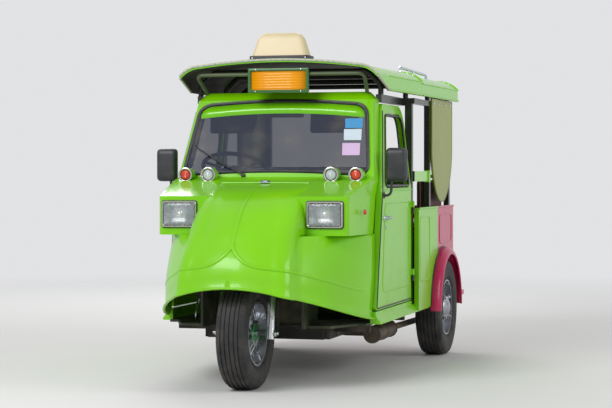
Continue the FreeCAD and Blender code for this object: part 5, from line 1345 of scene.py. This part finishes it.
def blow_up(pads, cap):
    """Fills the pads with air as cloth, holding each point near its start and inside the pad's room."""
    starts = {}
    for thing, _, _ in pads:
        starts[thing.name] = [v.co.copy() for v in thing.data.vertices]
        cloth = thing.modifiers.new("cloth", "CLOTH")
        cloth.settings.quality = 4
        cloth.settings.mass = 0.3
        cloth.settings.use_pressure = True
        cloth.settings.uniform_pressure_force = 4.0
        cloth.settings.tension_stiffness = 12.0
        cloth.settings.compression_stiffness = 12.0
        cloth.settings.bending_stiffness = 0.6
        cloth.settings.effector_weights.gravity = 0.0
        cloth.point_cache.frame_end = 20
    for frame_number in range(1, 21):
        bpy.context.scene.frame_set(frame_number)
    for thing, low, high in pads:
        settled(thing)
        low, high = Vector(low), Vector(high)
        for vertex, start in zip(thing.data.vertices, starts[thing.name]):
            way = vertex.co - start
            if way.length > 1e-6:
                way *= cap * math.tanh(way.length / cap) / way.length
            place = start + way
            vertex.co = [min(max(place[k], low[k]), high[k]) for k in range(3)]
    bpy.context.scene.frame_set(1)


def channels(thing, low, high, crown, across, places, depth=0.006):
    """Sewn channels pressed into the crowned face; crown is the axis and way it faces."""
    axis, way = crown
    middle = (low[axis] + high[axis]) / 2
    half = (high[axis] - low[axis]) / 2
    for vertex in thing.data.vertices:
        face = (vertex.co[axis] - middle) * way / half
        if face > 0:
            nearest = min(abs(vertex.co[across] - place) for place in places)
            vertex.co[axis] -= way * depth * math.exp(-(nearest / 0.0075) ** 2) * min(1.0, face * 1.6)


def welt(thing, low, high, crown, share, radius=0.0034):
    """Piping sewn round the pad at a share of its depth."""
    axis, way = crown
    first, second = [k for k in range(3) if k != axis]
    level = (low[axis] + high[axis]) / 2 + way * share * (high[axis] - low[axis]) / 2
    path = []
    corners = []
    for a, b in ((low, low), (high, low), (high, high), (low, high)):
        corner = Vector((0, 0, 0))
        corner[axis], corner[first], corner[second] = level, a[first], b[second]
        corners.append(corner)
    loop = rounded(corners, 0.028, 6)
    for place, following in zip(loop, loop[1:] + loop[:1]):
        steps = max(1, int((following - place).length / 0.02))
        for step in range(steps):
            _, spot, normal, _ = thing.closest_point_on_mesh(place.lerp(following, step / steps))
            path.append(spot + normal * radius * 0.25)
    return Form().tube(path, radius, 7, closed=True)


WIDE_SEAT, BENCH = (-0.33, -0.2, -0.07, 0.07, 0.2, 0.33), (0.705, 0.862, 1.02)
# Columns: name, low corner, high corner, insets low and high, crown (axis, way), channel axis,
# places of the channels, seam levels
PADS = (
    ("driver_cushion", (-0.488, -0.143, 0.59), (0.488, 0.287, 0.678),
     ((0.01, 0.01, 0.001), (0.01, 0.01, 0.014)), (2, 1), 0, WIDE_SEAT, (0.42, -0.62)),
    ("driver_backrest", (-0.473, 0.33, 0.695), (0.473, 0.3915, 0.995),
     ((0.01, 0.014, 0.01), (0.01, 0.001, 0.01)), (1, -1), 0, WIDE_SEAT, (0.3,)),
    ("bench_cushion", (0.29, 0.548, 0.69), (0.502, 1.177, 0.77),
     ((0.009, 0.01, 0.001), (0.009, 0.01, 0.013)), (2, 1), 1, BENCH, (0.42, -0.62)),
    ("bench_backrest", (0.48, 0.587, 0.79), (0.5295, 1.137, 1.03),
     ((0.013, 0.01, 0.01), (0.001, 0.01, 0.01)), (0, -1), 1, BENCH, (0.3,)),
)
pads, piping = [], Form()
for name, low, high, inset, *_ in PADS:
    pads.append((pad_start(name, low, high, inset), low, high))
blow_up(pads, 0.024)
for (thing, low, high), (name, _, _, _, crown, across, places, seams) in zip(pads, PADS):
    on_bench = name.startswith("bench")
    soft = thing.modifiers.new("soft", "SUBSURF")
    soft.levels = soft.render_levels = 1
    settled(thing)
    channels(thing, low, high, crown, across, places)
    for share in seams:
        seam = welt(thing, low, high, crown, share)
        piping.join(seam.mirrored() if on_bench else seam)
    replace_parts(thing, "bench_pads" if on_bench else "driver_pads")
    if on_bench:
        twin = thing.copy()
        twin.data = thing.data.copy()
        twin.data.transform(Matrix.Scale(-1, 4, (1, 0, 0)))
        twin.data.flip_normals()
        thing.name, twin.name = f"{name}_left", f"{name}_right"
        bpy.context.scene.collection.objects.link(twin)
        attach(twin, "chassis")
piping.piece("seat_piping", "seat_piping")


# Rear body
def wheel_arc(x, radius, steps):
    """Points on a half circle over the rear axle, at these of its forty steps."""
    angles = [math.pi * n / 40 for n in steps]
    return [(x, 0.9 - math.cos(angle) * radius, 0.27 + math.sin(angle) * radius) for angle in angles]


RIVET = ((0.0, 0.0046), (0.0014, 0.0044), (0.0026, 0.0022))
SIDE_X, RIVET_X = 0.5745, 0.5768
body_beads, body_rivets, body_rubber, rear_trim = (Form() for _ in range(4))
for form, y0, y1, z0 in ((body_beads, 0.262, 0.52, 0.45), (rear_trim, 0.8, 1.15, 0.64)):
    corners = [(SIDE_X, y, z) for y, z in ((y0, z0), (y1, z0), (y1, 0.8), (y0, 0.8))]
    form.tube(rounded(corners, 0.035, 6), 0.0056, 10, closed=True)
body_beads.tube([(0.5772, 0.236, 0.846), (0.5772, 0.75, 0.846)], 0.0062, 10)
rear_trim.tube([(0.5772, 0.758, 0.846), (0.5772, 1.208, 0.846)], 0.0062, 10)
for z in (0.42, 0.5, 0.58, 0.66, 0.74, 0.82):
    for y in (0.247, 0.742):
        body_rivets.turned(RIVET, (RIVET_X, y, z), (1, 0, 0), 10)
for y in (0.766, 1.195):
    for z in (0.66, 0.74, 0.82):
        body_rivets.turned(RIVET, (RIVET_X, y, z), (1, 0, 0), 10)
rear_trim.tube(wheel_arc(0.6265, 0.3085, range(41)), 0.0062, 10)
body_rubber.tube(wheel_arc(0.5785, 0.3462, range(1, 40)), 0.0045, 8)
body_beads.mirrored().piece("side_pressings", "green_paint")
body_rivets.mirrored().piece("side_rivets", "fork_steel")
body_rubber.mirrored().piece("fender_piping", "seal_rubber")

# Tail panel, step, plate and hand rails
rear_trim.tube(rounded(upright(0.33, 0.415, 0.33, 0.79, 1.2125), 0.03, 6), 0.0052, 10, closed=True)
rear_trim.mirrored().piece("rear_pressings", "magenta_paint")
grips, step_rubber, plate_rim, plate_bolts = (Form() for _ in range(4))
# Columns: distance from the middle, y, height
GRIP_LINE = (
    (0.548, 1.166, 1.12), (0.56, 1.205, 1.13), (0.56, 1.213, 1.2), (0.56, 1.205, 1.33),
    (0.548, 1.166, 1.34),
)
GRIP_FOOT = ((-0.002, 0.018), (0.003, 0.018), (0.005, 0.013))
for side in (1, -1):
    grips.tube(flowing([(side * x, y, z) for x, y, z in GRIP_LINE], 6), 0.0085, 12)
    for z in (1.12, 1.34):
        grips.turned(GRIP_FOOT, (side * 0.548, 1.176, z), (0, 1, 0), 20)
grips.piece("rear_hand_rails", "chrome")
for x0 in (-0.6, -0.2, 0.2):
    x1 = x0 + 0.4
    for n in range(9):
        y = 1.262 + n * 0.01
        step_rubber.tube([(x0 + 0.012, y, 0.3462), (x1 - 0.012, y, 0.3462)], 0.0026, 6)
step_rubber.piece("step_ribs", "seal_rubber")
plate_rim.tube(rounded(upright(-0.117, 0.117, 0.415, 0.539, 1.2192), 0.01, 5), 0.0024, 8, closed=True)
plate_rim.piece("plate_rim", "plate_metal")
PLATE_BOLT = ((-0.004, 0.0028), (0.0002, 0.0028), (0.0003, 0.0062), (0.003, 0.0062), (0.004, 0.0046))
for x in (-0.055, 0.055):
    plate_bolts.turned(PLATE_BOLT, (x, 1.2192, 0.52), (0, 1, 0), 6)
plate_bolts.piece("plate_bolts", "fork_steel")

# Side boards: a rolled edge round each and the loops they hang from
edging, loops = Form(), Form()
BOARD_X = 0.5655
foot, waist_z, top_z, y0, y1 = 0.879, 1.209, 1.454, 0.622, 1.209
middle = (y0 + y1) / 2


def board_arc(start, through, end):
    """A bend of the side board's outline through three pairs of y and height."""
    return arc_through(*((BOARD_X, y, z) for y, z in (start, through, end)), 14)


outline = [(BOARD_X, y1, top_z), (BOARD_X, y1, waist_z)]
outline += board_arc((y1, waist_z), (y1 - 0.062, foot + 0.12), (middle + 0.05, foot))[1:]
outline += board_arc((middle - 0.05, foot), (y0 + 0.062, foot + 0.12), (y0, waist_z))
outline += [(BOARD_X, y0, top_z)]
edging.tube(outline, 0.0062, 8, closed=True)
for y in (0.68, 0.83, 1.0, 1.15):
    ring = [(BOARD_X + 0.001, y + 0.01 * cosine, 1.44 + 0.014 * sine) for cosine, sine in full_turn(16)]
    loops.tube(ring, 0.0022, 6, closed=True)
    loops.turned([(-0.0065, 0.0095), (0.0062, 0.0095), (0.0068, 0.007)], (BOARD_X, y, 1.43), (1, 0, 0), 16)
edging.mirrored().piece("side_board_edging", "board_edging")
loops.mirrored().piece("side_board_loops", "chrome")

# Rail feet on the roof
RAIL_X = 0.434
RAIL_FOOT = ((-0.002, 0.02), (0.0025, 0.02), (0.004, 0.016), (0.009, 0.011))
feet = Form()
for y in (0.4, 0.7525, 1.105):
    place = min(roof_line(y, 0.01), key=lambda p: abs(p.x - RAIL_X))
    feet.turned(RAIL_FOOT, (RAIL_X, y, place.z + 0.0005), (0.22, 0, 1), 20)
feet.mirrored().piece("roof_rail_feet", "chrome")


# Cabin: instruments, controls and mats
dial, dial_marks, dial_rim, knobs, levers, pedals, mats, rails = (Form() for _ in range(8))
DIAL = Vector((-0.292, -0.4575, 1.0185))
DIAL_OUT = Vector((0, 75, 27)).normalized()
DIAL_UP = Vector((0, -DIAL_OUT.z, DIAL_OUT.y))
DIAL_RIM = (
    (-0.006, 0.0535), (0.002, 0.0535), (0.006, 0.051), (0.0055, 0.0465), (0.001, 0.0445), (0.0002, 0.0445),
)


def on_dial(turn, radius, out):
    """A point over the dial, turned from its top by an angle in degrees."""
    angle = math.radians(turn)
    return DIAL + (Vector((math.sin(angle), 0, 0)) + DIAL_UP * math.cos(angle)) * radius + DIAL_OUT * out


dial.turned([(0.0, 0.044), (0.0012, 0.044)], DIAL, DIAL_OUT, 48)
dial_rim.turned(DIAL_RIM, DIAL, DIAL_OUT, 48)
for n in range(25):
    turn = -135 + 270 * n / 24
    inner, thickness = (0.033, 0.0009) if n % 4 == 0 else (0.0365, 0.0005)
    dial_marks.tube([on_dial(turn, radius, 0.0013) for radius in (inner, 0.04)], thickness, 4)
dial_marks.tube([on_dial(-120, radius, 0.003) for radius in (-0.008, 0.033)], [0.0014, 0.0006], 6)
dial_marks.turned([(0.001, 0.005), (0.004, 0.0048), (0.005, 0.003)], DIAL, DIAL_OUT, 20)
dial.piece("dial_face", "dial_white")
dial_marks.piece("dial_marks", "seal_rubber", slot="black_plastic")
dial_rim.piece("dial_rim", "chrome")
DASH_Y = -0.5085
KNOB = ((-0.002, 0.01), (0.003, 0.01), (0.005, 0.008), (0.012, 0.008), (0.016, 0.0095), (0.019, 0.007))
for x in (-0.12, -0.075, -0.03, 0.015):
    knobs.turned(KNOB, (x, DASH_Y, 0.955), (0, 1, 0), 20)
KEY_LOCK = ((-0.002, 0.015), (0.004, 0.015), (0.007, 0.012), (0.007, 0.006))
knobs.turned(KEY_LOCK, (-0.17, DASH_Y, 0.955), (0, 1, 0), 24)
knobs.block((-0.1715, -0.5035, 0.949), (-0.1685, -0.49, 0.961))
knobs.tube(rounded(upright(0.14, 0.43, 0.9, 0.975, -0.508), 0.012), 0.004, 8, closed=True)
knobs.piece("dash_switches", "black_plastic", bevel=0.0008)

STEER_AXIS = Vector((0, 0.5, 0.866))
HUB = Vector((-0.292, -0.285, 1.052))
HUB_BODY = ((-0.02, 0.034), (-0.004, 0.042), (0.004, 0.042), (0.007, 0.039), (0.0075, 0.033))
HORN_BUTTON = ((0.0, 0.0325), (0.0085, 0.0325), (0.011, 0.03), (0.0125, 0.024), (0.013, 0.012))
Form().turned(HUB_BODY, HUB, STEER_AXIS, 40).piece("wheel_hub", "black_plastic", "hand_wheel")
Form().turned(HORN_BUTTON, HUB, STEER_AXIS, 40).piece("horn_button", "chrome", "hand_wheel")

PEDAL_ARM = ((-0.615, 0.297), (-0.612, 0.34), (-0.58, 0.385), (-0.536, 0.404))
GEAR_LEVER = ((0.06, -0.3, 0.3), (0.062, -0.305, 0.4), (0.04, -0.27, 0.52), (0.02, -0.235, 0.6))
HAND_BRAKE = ((-0.12, -0.19, 0.3), (-0.12, -0.215, 0.4), (-0.12, -0.29, 0.52))
GAITER = (
    (0.0, 0.048), (0.01, 0.05), (0.016, 0.04), (0.024, 0.043), (0.032, 0.033), (0.04, 0.036),
    (0.05, 0.024), (0.058, 0.026), (0.07, 0.011),
)
LEVER_KNOB = ((0.0, 0.012), (0.01, 0.021), (0.026, 0.025), (0.04, 0.019), (0.046, 0.009))
for x in (-0.4, -0.24, -0.15):
    levers.tube(flowing([(x, y, z) for y, z in PEDAL_ARM], 4), 0.007, 10)
    corners = [
        (x - 0.028, -0.5265, 0.375), (x + 0.028, -0.5265, 0.375), (x + 0.026, -0.534, 0.432),
        (x - 0.026, -0.534, 0.432),
    ]
    pedals.plate(rounded(corners, 0.01, 4), (0, 0.01, 0.0014))
    for n in range(5):
        z = 0.384 + n * 0.01
        y = -0.5163 - n * 0.0013
        pedals.tube([(x - 0.021, y, z), (x + 0.021, y, z)], 0.002, 6)
levers.tube(flowing(GEAR_LEVER, 5), 0.0075, 12)
levers.tube(flowing(HAND_BRAKE, 5), 0.0085, 12)
pedals.turned(GAITER, (0.06, -0.3, 0.3), (0, -0.04, 1), 28)
pedals.turned(LEVER_KNOB, (0.021, -0.238, 0.592), (-0.25, 0.4, 0.9), 24)
pedals.tube([(-0.12, -0.278, 0.502), (-0.12, -0.312, 0.552)], [0.013, 0.012], 14)
levers.piece("pedal_arms_and_levers", "chrome")
pedals.piece("pedal_pads_and_knobs", "black_plastic", bevel=0.001)

mats.plate(rounded(lying(-0.455, 0.455, -0.49, -0.165, 0.2968), 0.03), (0, 0, 0.0032))
for n in range(25):
    x = -0.432 + n * 0.036
    mats.tube([(x, -0.475, 0.3003), (x, -0.18, 0.3003)], 0.0028, 5)
for n in range(13):
    x = -0.216 + n * 0.036
    mats.tube([(x, 0.56, 0.43), (x, 1.165, 0.43)], 0.0028, 5)
mats.plate(rounded(lying(-0.24, 0.24, 0.552, 1.172, 0.4268), 0.02), (0, 0, 0.003))
mats.piece("floor_mats", "seal_rubber")

# Columns: distance from the middle, y, height
RAIL_END = (0.42, 0.408, 1.0), (0.42, 0.425, 1.035), (0.38, 0.432, 1.06)
rails.tube(flowing([(-x, y, z) for x, y, z in RAIL_END] + list(reversed(RAIL_END)), 6), 0.011, 14)
for x in (-0.42, 0.42):
    rails.turned([(-0.001, 0.02), (0.003, 0.02), (0.006, 0.013)], (x, 0.406, 1.0), (0, 1, 0), 22)
rails.tube([(0.0, 0.406, 0.985), (0.0, 0.43, 1.055)], 0.008, 10)
rails.piece("passenger_rail", "chrome")
kick = Form()
for z in (0.47, 0.64):
    kick.tube([(0.2895, 0.56, z), (0.2895, 1.165, z)], 0.0034, 8)
for y in (0.6, 0.8, 1.0, 1.145):
    for z in (0.45, 0.66):
        kick.turned([(0, 0.005), (0.0015, 0.0048), (0.0026, 0.0026)], (0.29, y, z), (-1, 0, 0), 10)
kick.mirrored().piece("bench_strips", "chrome")
seams = Form()
for z in (0.36, 0.54):
    seams.tube([(-0.49, 0.4065, z), (0.49, 0.4065, z)], 0.004, 8)
for x in (-0.33, 0.0, 0.33):
    seams.tube([(x, 0.4065, 0.4), (x, 0.4065, 0.97)], 0.004, 8)
seams.tube([(-0.502, 0.399, 1.0105), (0.502, 0.399, 1.0105)], 0.0085, 10)
seams.piece("bulkhead_pressings", "seat_base_paint")


# Underside: engine, exhaust, tank and axle details
ribs, bolts, clamps, boots = (Form() for _ in range(4))
for n in range(12):
    y = -0.105 + n * 0.0305
    ribs.block((-0.15, y - 0.0016, 0.2225), (0.15, y + 0.0016, 0.232))
ribs.turned([(-0.001, 0.016), (0.008, 0.016), (0.01, 0.012)], (0.0, 0.205, 0.23), (0, 0, -1), 6)
for x in (-0.155, 0.155):
    for y in (-0.112, 0.0, 0.112, 0.24):
        bolts.turned([(0.0, 0.0062), (0.0048, 0.0062), (0.0058, 0.0046)], (x, y, 0.23), (0, 0, -1), 6)
ribs.piece("engine_ribs", "cast_alloy", bevel=0.0006)

CLAMP = ((-0.007, 0.0455), (-0.007, 0.047), (0.007, 0.047), (0.007, 0.0455))
SEAM_BAND = ((-0.004, 0.0452), (-0.002, 0.0464), (0.002, 0.0464), (0.004, 0.0452))
for y, profile in ((-0.15, CLAMP), (0.24, CLAMP), (0.045, SEAM_BAND)):
    clamps.turned(profile, (0.41, y, 0.196), (0, 1, 0), 36)
clamps.piece("exhaust_bands", "exhaust_steel")

for x in (-0.13, 0.13):
    corners = [(x, y, z) for y, z in ((0.5285, 0.2935), (0.7615, 0.2935), (0.7615, 0.4165), (0.5285, 0.4165))]
    strap = rounded(corners, 0.02, 4)
    for shift in (-0.008, -0.004, 0.0, 0.004, 0.008):
        bolts.tube([p + Vector((shift, 0, 0)) for p in strap], 0.0022, 5, closed=True)
TANK_CAP = ((0.0, 0.024), (0.01, 0.024), (0.013, 0.02), (0.013, 0.008))
bolts.turned(TANK_CAP, (-0.15, 0.61, 0.295), (0, 0, -1), 28)
for cosine, sine in full_turn(10):
    for side in (-1, 1):
        place = side * 0.006, 0.9 + 0.0935 * cosine, 0.27 + 0.0935 * sine
        bolts.turned([(0.0, 0.0055), (0.0045, 0.0055), (0.0055, 0.004)], place, (side, 0, 0), 6)
bolts.piece("underside_bolts", "fork_steel")
FLANGE = ((-0.006, 0.087), (-0.006, 0.1), (0.006, 0.1), (0.006, 0.087))
Form().turned(FLANGE, (0, 0.9, 0.27), (1, 0, 0), 48).piece("axle_flange", "axle_iron", bevel=0.001)
BOOT = (
    (0.0, 0.034), (0.006, 0.036), (0.01, 0.029), (0.016, 0.033), (0.02, 0.026), (0.026, 0.03),
    (0.03, 0.023), (0.036, 0.026), (0.04, 0.0195),
)
boots.turned(BOOT, (0, 0.262, 0.256), (0, 1, 0.02), 32)
boots.turned(BOOT, (0, 0.82, 0.262), (0, -1, -0.02), 32)
boots.piece("shaft_boots", "seal_rubber")


# Floor, lights and camera
def stage():
    """A pale round floor that fades into the surroundings, with the object's shadow on it."""
    mesh = bpy.data.meshes.new("floor")
    rim = [(14.0 * cosine, 14.0 * sine, 0.0) for cosine, sine in full_turn(96)]
    mesh.from_pydata(rim, [], [tuple(range(96))])
    floor = bpy.data.objects.new("floor", mesh)
    bpy.context.scene.collection.objects.link(floor)
    finish = Finish("floor")
    across, along = finish.axis("X"), finish.axis("Y")
    reach = (across * across + along * along) ** 0.5
    mesh.materials.append(finish.done(
        base_color=finish.mix(finish.noise(0.7, 2.0), linear(220, 220, 218), linear(228, 228, 226)),
        roughness=finish.noise(2.0) * 0.1 + 0.75,
        alpha=1 - reach.ramp(3.2, 9.5),
    ))


def placed(name, data, place, aim):
    """An object at a place, turned to look at a point."""
    holder = bpy.data.objects.new(name, data)
    bpy.context.scene.collection.objects.link(holder)
    holder.location = place
    holder.rotation_euler = (Vector(aim) - Vector(place)).to_track_quat("-Z", "Y").to_euler()
    return holder


def lamp(name, place, aim, size, watts):
    light = bpy.data.lights.new(name, "AREA")
    light.shape = "RECTANGLE"
    light.size, light.size_y = size
    light.energy = watts
    placed(name, light, place, aim)


def camera():
    """The photograph's point of view, aimed at the vehicle alone."""
    view = bpy.data.cameras.new("camera")
    view.lens = 108.0
    view.sensor_width = 36.0
    view.clip_end = 100.0
    bpy.context.scene.camera = placed("camera", view, (2.61, -9.46, 1.03), (0.06, -0.18, 0.875))


def world():
    """Even pale surroundings: white where the camera and the reflections see them, softer as light."""
    surroundings = bpy.data.worlds.new("surroundings")
    bpy.context.scene.world = surroundings
    surroundings.use_nodes = True
    tree = surroundings.node_tree
    background = tree.nodes["Background"]
    rays = tree.nodes.new("ShaderNodeLightPath")
    seen = tree.nodes.new("ShaderNodeMath")
    seen.operation = "MAXIMUM"
    tree.links.new(rays.outputs["Is Camera Ray"], seen.inputs[0])
    tree.links.new(rays.outputs["Is Glossy Ray"], seen.inputs[1])
    strength = tree.nodes.new("ShaderNodeMapRange")
    tree.links.new(seen.outputs[0], strength.inputs["Value"])
    strength.inputs["To Min"].default_value = 0.42
    strength.inputs["To Max"].default_value = 0.8
    tree.links.new(strength.outputs[0], background.inputs["Strength"])
    background.inputs["Color"].default_value = (0.95, 0.955, 0.97, 1)


stage()
world()
lamp("key", (-2.5, -6.5, 5.5), (0, -0.3, 0.8), (4.0, 3.0), 380)
lamp("side", (7.0, -1.5, 3.5), (0, 0.2, 0.8), (3.5, 3.5), 170)
lamp("rear", (-3.0, 6.5, 4.5), (0, 0.3, 1.0), (4.0, 2.5), 200)
camera()
bpy.context.scene.view_settings.view_transform = "Standard"
